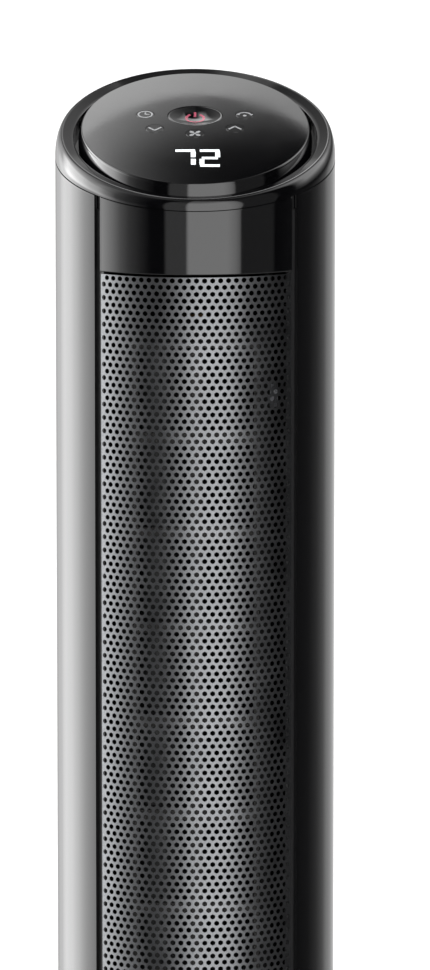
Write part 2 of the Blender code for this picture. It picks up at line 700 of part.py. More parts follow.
def make_deck(name, bottom, body):
    """Round deck with a straight front edge, a shaft hole and a hole for the wiring."""
    bm = bmesh.new()
    top = bottom + DECK_THICKNESS
    round_shape(bm, DECK_RADIUS, bottom, top, steps=INNER_STEPS)
    deck = part(name, bm, "grey_resin", body)
    cuts = bmesh.new()
    low, high = bottom - OVERRUN, top + OVERRUN
    box_shape(cuts, (-BODY_RADIUS, -BODY_RADIUS, low), (BODY_RADIUS, -DECK_CHORD, high))
    hole = BUSH_RADIUS + GAP
    round_shape(cuts, hole, low, high, y=BLOWER_Y)
    round_shape(cuts, HARNESS_RADIUS + GAP, low, high, HARNESS_X, HARNESS_Y)
    shape_with(deck, cuts, "DIFFERENCE")
    return deck


def make_decks(body):
    """Lower deck with the motor's pillars, upper deck with lugs, and the shaft's upper bush."""
    lower = make_deck("lower_deck", LOWER_DECK, body)
    pillars = bmesh.new()
    place = STATOR_HALF_WIDTH - PILLAR_RADIUS
    for side in LUG_SIDES:
        round_shape(pillars, PILLAR_RADIUS, LOWER_DECK - STATOR_DROP + GAP, LOWER_DECK + LAP,
                    side * place, BLOWER_Y)
    shape_with(lower, pillars, "UNION")

    upper = make_deck("upper_deck", UPPER_DECK, body)
    add_lugs(upper, UPPER_DECK + DECK_THICKNESS)

    bm = bmesh.new()
    flange_bottom = UPPER_DECK + DECK_THICKNESS + GAP
    bore = SHAFT_RADIUS + GAP
    turned_shape(bm, [(bore, UPPER_DECK), (BUSH_RADIUS, UPPER_DECK), (BUSH_RADIUS, flange_bottom),
                      (BUSH_FLANGE_RADIUS, flange_bottom), (BUSH_FLANGE_RADIUS, flange_bottom + BUSH_FLANGE),
                      (bore, flange_bottom + BUSH_FLANGE)], steps=SMALL_STEPS)
    part("upper_bush", bm, "bronze", body, Matrix.Translation((0, BLOWER_Y, 0)))


# Shell and front panel

INTAKE_BOTTOM = LOWER_DECK + INTAKE_END_MARGIN
INTAKE_TOP = UPPER_DECK - INTAKE_END_MARGIN


def make_rear_shell(body):
    """C-shaped shell with the intake window, the screw holes and the cord inlet's hole."""
    bm = bmesh.new()
    swept_shape(bm, wall_outline(SHELL_INNER, BODY_RADIUS, SHELL_BOTTOM, SEAM_HEIGHT),
                SHELL_EDGE_ANGLE, 2 * math.pi - SHELL_EDGE_ANGLE, BODY_STEPS)
    lift_top(bm, (SHELL_BOTTOM + SEAM_HEIGHT) / 2, seam_height)
    shell = part("rear_shell", bm, "gloss_black", body)
    window = bmesh.new()
    box_shape(window, (-INTAKE_HALF_WIDTH, BODY_RADIUS / 2, INTAKE_BOTTOM),
              (INTAKE_HALF_WIDTH, BODY_RADIUS + OVERRUN, INTAKE_TOP))
    shape_with(shell, window, "DIFFERENCE")
    back = Matrix.Rotation(math.pi, 4, "Z")
    hole = radial_cylinder(INLET_SHANK_RADIUS + GAP, SHELL_INNER - OVERRUN, BODY_RADIUS + OVERRUN)
    shape_with(shell, hole, "DIFFERENCE", Matrix.Translation((0, 0, FLOOR_TOP + INLET_HEIGHT)) @ back)
    seat = BODY_RADIUS - SCREW_HEAD_HEIGHT
    number = 0
    for height in screw_heights():
        for side in LUG_SIDES:
            number += 1
            place = lug_turn(side) @ Matrix.Translation((0, 0, height))
            bore = radial_cylinder(SCREW_RADIUS + GAP, SHELL_INNER - OVERRUN, BODY_RADIUS + OVERRUN)
            shape_with(shell, bore, "DIFFERENCE", place)
            sink = radial_cylinder(SCREW_HEAD_RADIUS + GAP, seat - GAP, BODY_RADIUS + OVERRUN)
            shape_with(shell, sink, "DIFFERENCE", place)
            inward = Matrix.Translation((0, -seat, 0)) @ Matrix.Rotation(-math.pi / 2, 4, "X")
            screw(f"shell_screw_{number}", body, place @ inward)


def make_front(body):
    """Gloss bands above and below, the perforated sheet between them and the rails behind."""
    bm = bmesh.new()
    edge = PANEL_EDGE_ANGLE
    swept_shape(bm, wall_outline(BAND_INNER, BAND_RADIUS, BAND_BOTTOM, SEAM_HEIGHT), -edge, edge,
                BODY_STEPS // 4)
    lift_top(bm, (BAND_BOTTOM + SEAM_HEIGHT) / 2, seam_height)
    part("front_band_upper", bm, "gloss_black", body)

    bm = bmesh.new()
    swept_shape(bm, wall_outline(BAND_INNER, BAND_RADIUS, SHELL_BOTTOM, LOWER_BAND_TOP), -edge, edge,
                BODY_STEPS // 4)
    part("front_band_lower", bm, "gloss_black", body)

    middle = (SHEET_BOTTOM + SHEET_TOP) / 2
    bm = slotted_grid(HOLE_COLUMNS, HOLE_ROWS, SHEET_RADIUS * edge, (SHEET_TOP - SHEET_BOTTOM) / 2,
                      HOLE_WEB_SHARE, lambda column, row: (column + row) % 2 == 0)
    wrap_round(bm, SHEET_RADIUS, middle, 0)
    sheet = part("grille_sheet", bm, "grille_grey", body, closed=False)
    thicken(sheet, SHEET_THICKNESS)

    inner = RAIL_RADIUS - RAIL_WALL
    start = PANEL_EDGE_ANGLE - RAIL_OVERLAP_ANGLE
    end = SHELL_EDGE_ANGLE + RAIL_OVERLAP_ANGLE
    for name, first, last in (("grille_rail_right", start, end), ("grille_rail_left", -end, -start)):
        bm = bmesh.new()
        outline = wall_outline(inner, RAIL_RADIUS, FLOOR_TOP + GAP, SEAM_HEIGHT)
        swept_shape(bm, outline, first, last, ARC_STEPS)
        lift_top(bm, SHEET_TOP, lambda y: seam_height(y) - RING_SKIRT_DEPTH - GAP)
        part(name, bm, "satin_black", body)


def make_intake(body):
    """Slotted cover in the shell's window, and the filter pad behind it."""
    half_angle = math.asin((INTAKE_HALF_WIDTH - GAP) / BODY_RADIUS)
    half_height = (INTAKE_TOP - INTAKE_BOTTOM) / 2 - GAP
    middle = (INTAKE_TOP + INTAKE_BOTTOM) / 2
    bm = slotted_grid(INTAKE_COLUMNS, INTAKE_ROWS, BODY_RADIUS * half_angle, half_height,
                      INTAKE_WEB_SHARE, lambda column, row: True)
    wrap_round(bm, BODY_RADIUS, middle, math.pi)
    cover = part("intake_cover", bm, "satin_black", body, closed=False)
    thicken(cover, SHELL_WALL)

    bm = bmesh.new()
    outer = SHELL_INNER - GAP
    pad_angle = math.asin((INTAKE_HALF_WIDTH - FILTER_INSET) / BODY_RADIUS)
    swept_shape(bm, wall_outline(outer - FILTER_THICKNESS, outer, INTAKE_BOTTOM + FILTER_INSET,
                                 INTAKE_TOP - FILTER_INSET), math.pi - pad_angle, math.pi + pad_angle,
                INTAKE_COLUMNS)
    part("filter_pad", bm, "foam", body)


def make_cord_inlet(body):
    """Flanged grommet low in the rear of the shell."""
    bm = bmesh.new()
    seat = BODY_RADIUS + GAP
    inner = SHELL_INNER - INLET_SHANK_RADIUS
    turned_shape(bm, [(INLET_BORE, inner), (INLET_SHANK_RADIUS, inner), (INLET_SHANK_RADIUS, seat),
                      (INLET_FLANGE_RADIUS, seat), (INLET_FLANGE_RADIUS, seat + INLET_FLANGE),
                      (INLET_BORE, seat + INLET_FLANGE)], steps=SMALL_STEPS)
    place = Matrix.Translation((0, 0, FLOOR_TOP + INLET_HEIGHT)) @ Matrix.Rotation(-math.pi / 2, 4, "X")
    part("cord_inlet", bm, "rubber", body, place)


# Air path and heating element

def make_guides(body):
    """Curved wall round the blower's right side and the tongue on its left."""
    for name, side, rear in (("scroll_wall", 1, SCROLL_REAR_ANGLE), ("scroll_tongue", -1, TONGUE_REAR_ANGLE)):
        first, last = sorted((side * GUIDE_FRONT_ANGLE, side * rear))
        bm = bmesh.new()
        outline = wall_outline(SCROLL_RADIUS, SCROLL_RADIUS + SCROLL_WALL, CHAMBER_BOTTOM, CHAMBER_TOP)
        swept_shape(bm, outline, first, last, 2 * ARC_STEPS)
        guide = part(name, bm, "zinc_steel", body, Matrix.Translation((0, BLOWER_Y, 0)))
        plate = bmesh.new()
        x, y = polar(SCROLL_RADIUS, side * GUIDE_FRONT_ANGLE)
        reach = -CORE_REAR + GAP - BLOWER_Y
        near, far = sorted((x, x + side * SCROLL_WALL))
        box_shape(plate, (near, reach, CHAMBER_BOTTOM), (far, y + LAP, CHAMBER_TOP))
        shape_with(guide, plate, "UNION")


def make_element(body):
    """Finned ceramic element in its frame, with the thermal cut-out beside it."""
    border = CORE_HALF_WIDTH + GAP + FRAME_BORDER
    front = -CORE_REAR - CORE_DEPTH
    bm = bmesh.new()
    box_shape(bm, (-border, front, CHAMBER_BOTTOM), (border, -CORE_REAR, CHAMBER_TOP))
    frame = part("heater_frame", bm, "satin_black", body)
    opening = bmesh.new()
    inside = CORE_HALF_WIDTH + GAP
    box_shape(opening, (-inside, front - OVERRUN, CHAMBER_BOTTOM + FRAME_BORDER),
              (inside, OVERRUN - CORE_REAR, CHAMBER_TOP - FRAME_BORDER))
    shape_with(frame, opening, "DIFFERENCE")

    half_height = (CHAMBER_TOP - CHAMBER_BOTTOM) / 2 - FRAME_BORDER - GAP
    bm = slotted_grid(CORE_COLUMNS, CORE_ROWS, CORE_HALF_WIDTH, half_height, CORE_WEB_SHARE,
                      lambda column, row: True)
    upright = (Matrix.Translation((0, front, (CHAMBER_TOP + CHAMBER_BOTTOM) / 2))
               @ Matrix.Rotation(math.pi / 2, 4, "X"))
    bmesh.ops.transform(bm, matrix=upright, verts=bm.verts)
    core = part("heater_core", bm, "aluminium_fins", body, closed=False)
    thicken(core, CORE_DEPTH)

    bm = bmesh.new()
    round_shape(bm, CUTOUT_RADIUS, border + GAP, border + GAP + CUTOUT_DEPTH)
    middle = (0, (front - CORE_REAR) / 2, CHAMBER_TOP - INTAKE_END_MARGIN)
    part("thermal_cutout", bm, "grey_resin", body,
         Matrix.Translation(middle) @ Matrix.Rotation(math.pi / 2, 4, "Y"))


def make_sensor(body):
    """Temperature sensor on the lower deck, in the incoming air."""
    bm = bmesh.new()
    x, y = polar(DECK_RADIUS - SENSOR_INSET, SHELL_SCREW_ANGLE)
    round_shape(bm, SENSOR_RADIUS, CHAMBER_BOTTOM, CHAMBER_BOTTOM + SENSOR_HEIGHT, x, y)
    part("temperature_sensor", bm, "white_nylon", body)


# Motor and blower

STATOR_TOP = LOWER_DECK - STATOR_DROP
STATOR_BOTTOM = STATOR_TOP - STATOR_HEIGHT
BRACKET_TOP = STATOR_BOTTOM - COIL_WALL
BRACKET_BOTTOM = BRACKET_TOP - BRACKET_HEIGHT
AT_BLOWER = Matrix.Translation((0, BLOWER_Y, 0))


def make_motor(body):
    """Laminated stator, its coil and the bracket that holds the shaft's lower end."""
    bm = bmesh.new()
    box_shape(bm, (-STATOR_HALF_WIDTH, -STATOR_FRONT, STATOR_BOTTOM),
              (STATOR_HALF_WIDTH, STATOR_REAR, STATOR_TOP))
    stator = part("motor_stator", bm, "zinc_steel", body, AT_BLOWER)
    cuts = bmesh.new()
    low, high = STATOR_BOTTOM - OVERRUN, STATOR_TOP + OVERRUN
    round_shape(cuts, ROTOR_RADIUS + RUN_GAP, low, high, steps=2 * SMALL_STEPS)
    coil_rear = COIL_FRONT + COIL_LENGTH
    for side in LUG_SIDES:
        near, far = sorted((side * COIL_LEG_HALF, side * (COIL_LEG_HALF + COIL_WINDOW)))
        box_shape(cuts, (near, COIL_FRONT, low), (far, coil_rear, high))
    shape_with(stator, cuts, "DIFFERENCE")

    bm = bmesh.new()
    half = COIL_LEG_HALF + COIL_WINDOW - GAP
    box_shape(bm, (-half, COIL_FRONT + GAP, STATOR_BOTTOM - COIL_WALL),
              (half, coil_rear - GAP, STATOR_TOP + COIL_WALL))
    coil = part("motor_coil", bm, "copper_wire", body, AT_BLOWER)
    core = bmesh.new()
    leg = COIL_LEG_HALF + GAP
    box_shape(core, (-leg, COIL_FRONT - OVERRUN, STATOR_BOTTOM - GAP),
              (leg, coil_rear + OVERRUN, STATOR_TOP + GAP))
    shape_with(coil, core, "DIFFERENCE")

    bm = bmesh.new()
    box_shape(bm, (-STATOR_HALF_WIDTH, -BRACKET_WIDTH / 2, BRACKET_BOTTOM),
              (STATOR_HALF_WIDTH, BRACKET_WIDTH / 2, BRACKET_TOP))
    bracket = part("motor_bracket", bm, "zinc_steel", body, AT_BLOWER)
    posts = bmesh.new()
    for side in LUG_SIDES:
        round_shape(posts, PILLAR_RADIUS, BRACKET_TOP - LAP, STATOR_BOTTOM - GAP,
                    side * (STATOR_HALF_WIDTH - PILLAR_RADIUS))
    shape_with(bracket, posts, "UNION")
    bore = bmesh.new()
    round_shape(bore, SHAFT_RADIUS + GAP, (BRACKET_TOP + BRACKET_BOTTOM) / 2, BRACKET_TOP + OVERRUN)
    shape_with(bracket, bore, "DIFFERENCE")


def make_blower(body):
    """Cross-flow wheel, its shaft and the motor's rotor, on the blower's axis."""
    bore = SHAFT_RADIUS + GAP
    bottom = CHAMBER_BOTTOM + WHEEL_END_GAP
    top = CHAMBER_TOP - WHEEL_END_GAP
    bm = bmesh.new()
    for share in WHEEL_DISC_SHARES:
        low = bottom + (top - bottom - WHEEL_DISC) * share
        turned_shape(bm, wall_outline(bore, WHEEL_RADIUS, low, low + WHEEL_DISC), steps=2 * SMALL_STEPS)
    wheel = part("blower_wheel", bm, "satin_black", body)
    blades = bmesh.new()
    outer = WHEEL_RADIUS * math.cos(math.pi / (2 * SMALL_STEPS)) - GAP
    for index in range(BLADE_COUNT):
        verts = box_shape(blades, (-BLADE_THICKNESS / 2, -outer, bottom + LAP),
                          (BLADE_THICKNESS / 2, BLADE_CHORD - outer, top - LAP))
        turn = Matrix.Rotation(2 * math.pi * index / BLADE_COUNT, 3, "Z")
        bmesh.ops.rotate(blades, matrix=turn, verts=verts)
    shape_with(wheel, blades, "UNION")

    bm = bmesh.new()
    shaft_bottom = (BRACKET_TOP + BRACKET_BOTTOM) / 2 + GAP
    shaft_top = UPPER_DECK + DECK_THICKNESS + GAP + BUSH_FLANGE
    round_shape(bm, SHAFT_RADIUS, shaft_bottom, shaft_top)
    part("rotor_shaft", bm, "bright_steel", body)

    bm = bmesh.new()
    turned_shape(bm, wall_outline(bore, ROTOR_RADIUS, STATOR_BOTTOM, STATOR_TOP), steps=2 * SMALL_STEPS)
    part("motor_rotor", bm, "bright_steel", body)


# Electronics

def make_power_board(body):
    """Mains board on the floor's posts, with its relays, and the wiring sleeve to the top."""
    bottom = FLOOR_TOP + BOARD_POST_HEIGHT + GAP
    top = bottom + BOARD_THICKNESS
    bm = bmesh.new()
    box_shape(bm, (-BOARD_HALF_WIDTH, -BOARD_HALF_DEPTH, bottom), (BOARD_HALF_WIDTH, BOARD_HALF_DEPTH, top))
    board = part("power_board", bm, "circuit_green", body)
    relays = bmesh.new()
    for share in RELAY_SHARES:
        x = share * BOARD_HALF_WIDTH
        box_shape(relays, (x, RELAY_SIZE - BOARD_HALF_DEPTH, top - LAP),
                  (x + RELAY_SIZE, 2 * RELAY_SIZE - BOARD_HALF_DEPTH, top + RELAY_SIZE))
    shape_with(board, relays, "UNION")

    bm = bmesh.new()
    ceiling = crest_height(HARNESS_Y - HARNESS_RADIUS) - LEDGE_DEPTH
    round_shape(bm, HARNESS_RADIUS, top + GAP, ceiling, HARNESS_X, HARNESS_Y)
    part("wire_harness", bm, "rubber", body)


# Slanted top

def make_top_ring(body):
    """Rounded ring with a skirt inside the shell and a ledge for the control disc."""
    crest = BODY_RADIUS - CREST_INSET
    skirt_inner = DECK_RADIUS - RING_SKIRT_WALL
    underside = RING_RISE - LEDGE_DEPTH - LEDGE_WALL
    outline = [(BODY_RADIUS, RING_SEAM)]
    for step in range(ARC_STEPS + 1):
        angle = math.pi / 2 * step / ARC_STEPS
        outline.append((crest + CREST_INSET * math.cos(angle),
                        RING_RISE - SHOULDER_DEPTH * (1 - math.sin(angle))))
    outline += [(GROOVE_RADIUS, RING_RISE - RING_FALL), (GROOVE_RADIUS, RING_RISE - LEDGE_DEPTH),
                (LEDGE_RADIUS, RING_RISE - LEDGE_DEPTH), (LEDGE_RADIUS, underside), (skirt_inner, underside),
                (skirt_inner, -RING_SKIRT_DEPTH), (DECK_RADIUS, -RING_SKIRT_DEPTH), (DECK_RADIUS, RING_SEAM)]
    bm = bmesh.new()
    turned_shape(bm, outline)
    level = (RING_SEAM + underside) / 2
    for vert in bm.verts:
        if vert.co.z > level:
            vert.co.z += crest_height(vert.co.y) - RING_RISE
        else:
            vert.co.z += seam_height(vert.co.y)
    ring = part("top_ring", bm, "gloss_black", body)
    shape_with(ring, control_screw_bores(), "DIFFERENCE", TILTED)


def flat_depth(depth):
    """Distance from the crest plane, square to it, of a plane a vertical depth below it."""
    return depth * math.cos(CREST_TILT)


CONTROL_SCREW_X = (GROOVE_RADIUS + LEDGE_RADIUS) / 2 - GROOVE_WIDTH / 2
LEDGE_UNDERSIDE = -flat_depth(LEDGE_DEPTH + LEDGE_WALL)


def control_screw_bores():
    """Bores for the two screws that hold the control disc, in the tilted frame."""
    bm = bmesh.new()
    for side in LUG_SIDES:
        round_shape(bm, SCREW_RADIUS + GAP, LEDGE_UNDERSIDE - OVERRUN, LEDGE_UNDERSIDE + SCREW_LENGTH,
                    side * CONTROL_SCREW_X)
    return bm


def slant(bm):
    """Lay a level shape, made round height zero, on the crest plane."""
    for vert in bm.verts:
        vert.co.z += crest_height(vert.co.y)


def cap_skin():
    """Outer points of the control disc, from the middle of its dome to its lower edge."""
    flat = CAP_RADIUS - CAP_EDGE
    points = [(flat * share, CAP_RISE + CAP_DOME * (1 - share ** 2)) for share in DOME_SHARES]
    for step in range(ARC_STEPS):
        angle = math.pi / 2 * step / (ARC_STEPS - 1)
        points.append((flat + CAP_EDGE * math.sin(angle), CAP_RISE - CAP_EDGE * (1 - math.cos(angle))))
    return points + [(CAP_RADIUS, GAP - LEDGE_DEPTH)]


def button_place(place):
    """Matrix of a button's place in the tilted frame."""
    return TILTED @ Matrix.Translation((*place, 0))


def button_hole(half_width, half_depth, steps):
    """Hole through the disc's top, wider than its button by the gap."""
    bm = bmesh.new()
    width, depth = half_width + GAP, half_depth + GAP
    high = CAP_RISE + CAP_DOME + OVERRUN
    round_shape(bm, width, CAP_UNDERSIDE - OVERRUN, high, steps=steps, stretch=depth / width)
    return bm


def make_control_cap(body):
    """Raised gloss disc with the buttons' holes."""
    bm = bmesh.new()
    inner = CAP_RADIUS - CAP_WALL
    under = [(inner, GAP - LEDGE_DEPTH), (inner, CAP_UNDERSIDE), (0, CAP_UNDERSIDE)]
    turned_shape(bm, cap_skin() + under, closed=False)
    slant(bm)
    cap = part("control_cap", bm, "gloss_black", body)
    for key_place in KEY_PLACES.values():
        hole = button_hole(KEY_RADIUS, KEY_RADIUS, SMALL_STEPS)
        shape_with(cap, hole, "DIFFERENCE", button_place(key_place))
    hole = button_hole(POWER_HALF_WIDTH, POWER_HALF_DEPTH, 2 * SMALL_STEPS)
    shape_with(cap, hole, "DIFFERENCE", button_place(POWER_PLACE))


def make_button(name, place, half_width, half_depth, travel, steps, body):
    """Button with a flange under the disc's top and a stem over its switch, its top flush."""
    flange_top = flat_depth(CAP_UNDERSIDE) - GAP
    flange_bottom = flange_top - KEY_FLANGE_HEIGHT
    stem_bottom = SWITCH_TOP + travel + GAP
    high = CAP_RISE + CAP_DOME + OVERRUN
    bm = bmesh.new()
    flange = half_width + KEY_FLANGE
    turned_shape(bm, [(0, high), (half_width, high), (half_width, flange_top), (flange, flange_top),
                      (flange, flange_bottom), (STEM_RADIUS, flange_bottom), (STEM_RADIUS, stem_bottom),
                      (0, stem_bottom)], steps=steps, closed=False)
    bmesh.ops.scale(bm, vec=(1, half_depth / half_width, 1), verts=bm.verts)
    matrix = button_place(place)
    button = part(name, bm, "gloss_black", body, matrix)
    dome = bmesh.new()
    deep = -2 * LEDGE_DEPTH
    turned_shape(dome, cap_skin() + [(CAP_RADIUS, deep), (0, deep)], closed=False)
    slant(dome)
    shape_with(button, dome, "INTERSECT", matrix.inverted())
    return button


def make_buttons(body):
    """Concave power button and the five keys."""
    for name, place in KEY_PLACES.items():
        make_button(name, place, KEY_RADIUS, KEY_RADIUS, KEY_TRAVEL, SMALL_STEPS, body)
    power = make_button("power_button", POWER_PLACE, POWER_HALF_WIDTH, POWER_HALF_DEPTH, POWER_TRAVEL,
                        2 * SMALL_STEPS, body)
    floor = flat_depth(CAP_RISE + CAP_DOME) - POWER_DISH_DEPTH
    rim = POWER_HALF_WIDTH - KEY_FLANGE
    outline = [(rim * share, floor + POWER_DISH_DEPTH * share ** 2) for share in DISH_SHARES]
    bowl = bmesh.new()
    above = floor + POWER_DISH_DEPTH + OVERRUN
    turned_shape(bowl, outline + [(rim, above), (0, above)], steps=2 * SMALL_STEPS, closed=False)
    bmesh.ops.scale(bowl, vec=(1, POWER_HALF_DEPTH / POWER_HALF_WIDTH, 1), verts=bowl.verts)
    shape_with(power, bowl, "DIFFERENCE")


def make_control_electronics(body):
    """Base of the disc on the ring's ledge, with the board, its switches, the display and the screws."""
    bottom = GAP - LEDGE_DEPTH
    top = bottom + CONTROL_BASE_THICKNESS
    bm = bmesh.new()
    round_shape(bm, CAP_RADIUS - CAP_WALL - GAP, bottom, top, steps=INNER_STEPS)
    slant(bm)
    base = part("control_base", bm, "satin_black", body)
    posts = bmesh.new()
    for x in (PILLAR_RADIUS - CONTROL_BOARD_HALF_WIDTH, CONTROL_BOARD_HALF_WIDTH - PILLAR_RADIUS):
        for y in (PILLAR_RADIUS - CONTROL_BOARD_FRONT, CONTROL_BOARD_REAR - PILLAR_RADIUS):
            round_shape(posts, PILLAR_RADIUS, flat_depth(top) - LAP, -CONTROL_BOARD_DROP - GAP, x, y)
    shape_with(base, posts, "UNION", TILTED)
    shape_with(base, control_screw_bores(), "DIFFERENCE", TILTED)

    bm = bmesh.new()
    board_top = BOARD_THICKNESS - CONTROL_BOARD_DROP
    box_shape(bm, (-CONTROL_BOARD_HALF_WIDTH, -CONTROL_BOARD_FRONT, -CONTROL_BOARD_DROP),
              (CONTROL_BOARD_HALF_WIDTH, CONTROL_BOARD_REAR, board_top))
    board = part("control_board", bm, "circuit_green", body, TILTED)
    switches = bmesh.new()
    for x, y in [POWER_PLACE, *KEY_PLACES.values()]:
        half = SWITCH_SIZE / 2
        box_shape(switches, (x - half, y - half, board_top - LAP), (x + half, y + half, SWITCH_TOP))
    shape_with(board, switches, "UNION")

    bm = bmesh.new()
    box_shape(bm, (-DISPLAY_HALF_WIDTH, DISPLAY_CENTRE - DISPLAY_HALF_DEPTH, board_top + GAP),
              (DISPLAY_HALF_WIDTH, DISPLAY_CENTRE + DISPLAY_HALF_DEPTH, flat_depth(CAP_UNDERSIDE) - GAP))
    part("display_module", bm, "grey_resin", body, TILTED)

    for number, side in enumerate(LUG_SIDES, 1):
        place = Matrix.Translation((side * CONTROL_SCREW_X, 0, LEDGE_UNDERSIDE - GAP))
        screw(f"control_screw_{number}", body, TILTED @ place)


def main():
    """Build the heater body by body."""
    base = body_empty("base_frame")
    pinion = body_empty("pinion_axis", (0, PINION_Y, 0), base)
    tower = body_empty("tower_axis")
    blower = body_empty("blower_axis", (0, BLOWER_Y, 0), tower)
    intake = body_empty("intake_slide", parent=tower)

    make_base_cover(base)
    make_base_plate(base)
    make_feet(base)
    make_base_inside(base)
    make_pinion(pinion)

    make_tower_floor(tower)
    make_hub_gear(tower)
    make_decks(tower)
    make_rear_shell(tower)
    make_front(tower)
    make_intake(intake)
    make_cord_inlet(tower)
    make_guides(tower)
    make_element(tower)
    make_sensor(tower)
    make_motor(tower)
    make_blower(blower)
    make_power_board(tower)
    make_top_ring(tower)
    make_control_electronics(tower)
    make_control_cap(tower)
    make_buttons(tower)


main()
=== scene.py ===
"""Looks of the tower fan heater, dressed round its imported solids.

Metres, +Z up, the front faces -Y. Angles round the column are measured from the front and grow
towards +X. Pieces of the control disc are made in a tilted frame: u to the right, v up the slope
and w square to the slope, with its origin where the crest plane meets the column's axis.
"""
import math

import bmesh
import bpy
from mathutils import Matrix, Vector


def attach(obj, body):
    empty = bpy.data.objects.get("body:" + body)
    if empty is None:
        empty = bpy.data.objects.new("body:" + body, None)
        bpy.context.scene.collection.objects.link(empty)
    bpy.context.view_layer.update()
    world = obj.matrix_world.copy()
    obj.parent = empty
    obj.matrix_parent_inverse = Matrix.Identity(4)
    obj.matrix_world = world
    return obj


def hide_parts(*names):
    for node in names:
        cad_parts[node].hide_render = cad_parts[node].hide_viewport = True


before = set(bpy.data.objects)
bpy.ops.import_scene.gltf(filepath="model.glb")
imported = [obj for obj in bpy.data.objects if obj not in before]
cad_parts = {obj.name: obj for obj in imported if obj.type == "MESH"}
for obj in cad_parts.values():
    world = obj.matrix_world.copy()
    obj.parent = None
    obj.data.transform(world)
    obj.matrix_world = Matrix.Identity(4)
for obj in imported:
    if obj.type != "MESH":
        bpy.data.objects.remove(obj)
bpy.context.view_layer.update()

# Clearances
GAP = 0.0003
LIFT = 0.00006  # how far a printed mark stands above its surface
OVERRUN = 0.002  # how far a knife reaches past what it cuts

# Column
BODY_RADIUS = 0.089
SHELL_WALL = 0.0025
SHELL_INNER = BODY_RADIUS - SHELL_WALL
DECK_RADIUS = SHELL_INNER - GAP
SHELL_BOTTOM = 0.0386
SHELL_SOFT_EDGE = 0.00025
SHELL_EDGE_ANGLE = math.radians(45.65)
PANEL_EDGE_ANGLE = math.radians(43)
RAIL_BEHIND_SHEET = math.radians(0.8)
RAIL_BEHIND_SHELL = math.radians(3)
RAIL_WALL = 0.0025
RAIL_BOTTOM = 0.0409
SEAM_TILT = math.radians(16.3)
CREST_TILT = math.radians(22)
CREST_HEIGHT = 0.72786
SEAM_HEIGHT = 0.71216
RING_RISE = CREST_HEIGHT - SEAM_HEIGHT

# Front panel
BAND_RADIUS = 0.0886
BAND_WALL = 0.0021
BAND_SOFT_EDGE = 0.0006
BAND_BOTTOM = 0.646434
LOWER_BAND_TOP = 0.1046
SHEET_RADIUS = 0.0875
SHEET_THICKNESS = 0.0006  # thinner than its solid, as such sheets are
SHEET_BOTTOM = 0.1062
SHEET_TOP = 0.644834
HOLE_PITCHES = 26  # holes in a full row, 5.05 mm apart
HOLE_ROWS = 128  # rows 4.2 mm apart
HOLE_RADIUS = 0.00168

# Rear
INTAKE_HALF_WIDTH = 0.036
INTAKE_BOTTOM = 0.1466
INTAKE_TOP = 0.566434
LOUVRE_COLUMNS = 6
LOUVRE_ROWS = 54
LOUVRE_WEB = 0.0012  # half the web between slots, and their corners' radius
LOUVRE_EDGE = 0.006  # longer edges are split, to follow the curve
FOAM_THICKNESS = 0.0028
FOAM_MARGIN = 0.0008  # foam ends this far inside the window, so no light passes it
FOAM_SOFT_EDGE = 0.0006
INLET_HEIGHT = 0.0746
INLET_HOLE_RADIUS = 0.0063
GROMMET_BORE = 0.004
GROMMET_NECK = 0.006
GROMMET_FLANGE = 0.009
GROMMET_TAIL = 0.006  # how far it reaches inside the shell
GROMMET_HEIGHT = 0.0020
GROMMET_ROUND = 0.0012
GROMMET_BEVEL = 0.0006
LUG_HEIGHTS = (0.0456, 0.614434)
SHELL_SCREW_ANGLE = math.radians(130)
SCREW_RADIUS = 0.0015
SCREW_HEAD_RADIUS = 0.003
SCREW_HEAD_HEIGHT = 0.0016
SCREW_LENGTH = 0.008
SCREW_TIP = (0.0008, 0.001)  # its radius and length
SCREW_RIM_SHARE = 0.35  # height of the head's rim, as a share of the head's
CROSS_REACH = 0.0017
CROSS_HALF_WIDTH = 0.0004
CROSS_KNIFE = (-0.003, -0.0008)  # its ends, counted from the head's seat
SCREW_KNIFE_REACH = 0.004

# Blower
WHEEL_RADIUS = 0.036
WHEEL_BOTTOM = 0.1129
WHEEL_TOP = 0.60313
WHEEL_DISC = 0.003
WHEEL_BLADES = 32
WHEEL_AXIS_Y = 0.012
WHEEL_BORE = 0.0033
BLADE_CURVE = 0.0080  # radius that each blade is bent to
BLADE_HALF_THICKNESS = 0.0004
BLADE_HALF_ARC = math.radians(30)
BLADE_LEAN = math.radians(62)
BLADE_SHIFT = 0.0075  # brings a blade's arc onto its own middle
BLADE_INSET = 0.0045  # blade's middle inside the wheel's rim
BLADE_END = 0.0005  # how far a blade's ends lie inside the wheel's

# Foot
BASE_RADIUS = 0.125
BASE_HEIGHT = 0.035
PLATE_BOTTOM = 0.0043
PLATE_TOP = 0.0068
PLATE_SCREWS = 3
HUB_HOLE = 0.0223
COVER_WALL = 0.003
COVER_SKIRT = 0.008
COVER_EDGE = 0.007
COVER_EDGE_ANGLE = math.radians(60)
COVER_LIP = 0.0004
CROWN_RADIUS = 0.091
CROWN_BEVEL = (0.002, 0.0011)  # out and down
FOOT_COUNT = 4
FOOT_RADIUS = 0.011
FOOT_HEIGHT = 0.004
FOOT_CIRCLE = 0.101
FOOT_STEM = 0.004
FOOT_SOFT_EDGE = 0.0008
FOOT_DIMPLE = (0.0030, 0.0034, 0.0004)  # its floor's radius, its mouth's and its depth
BASE_SCREW_CIRCLE = 0.086

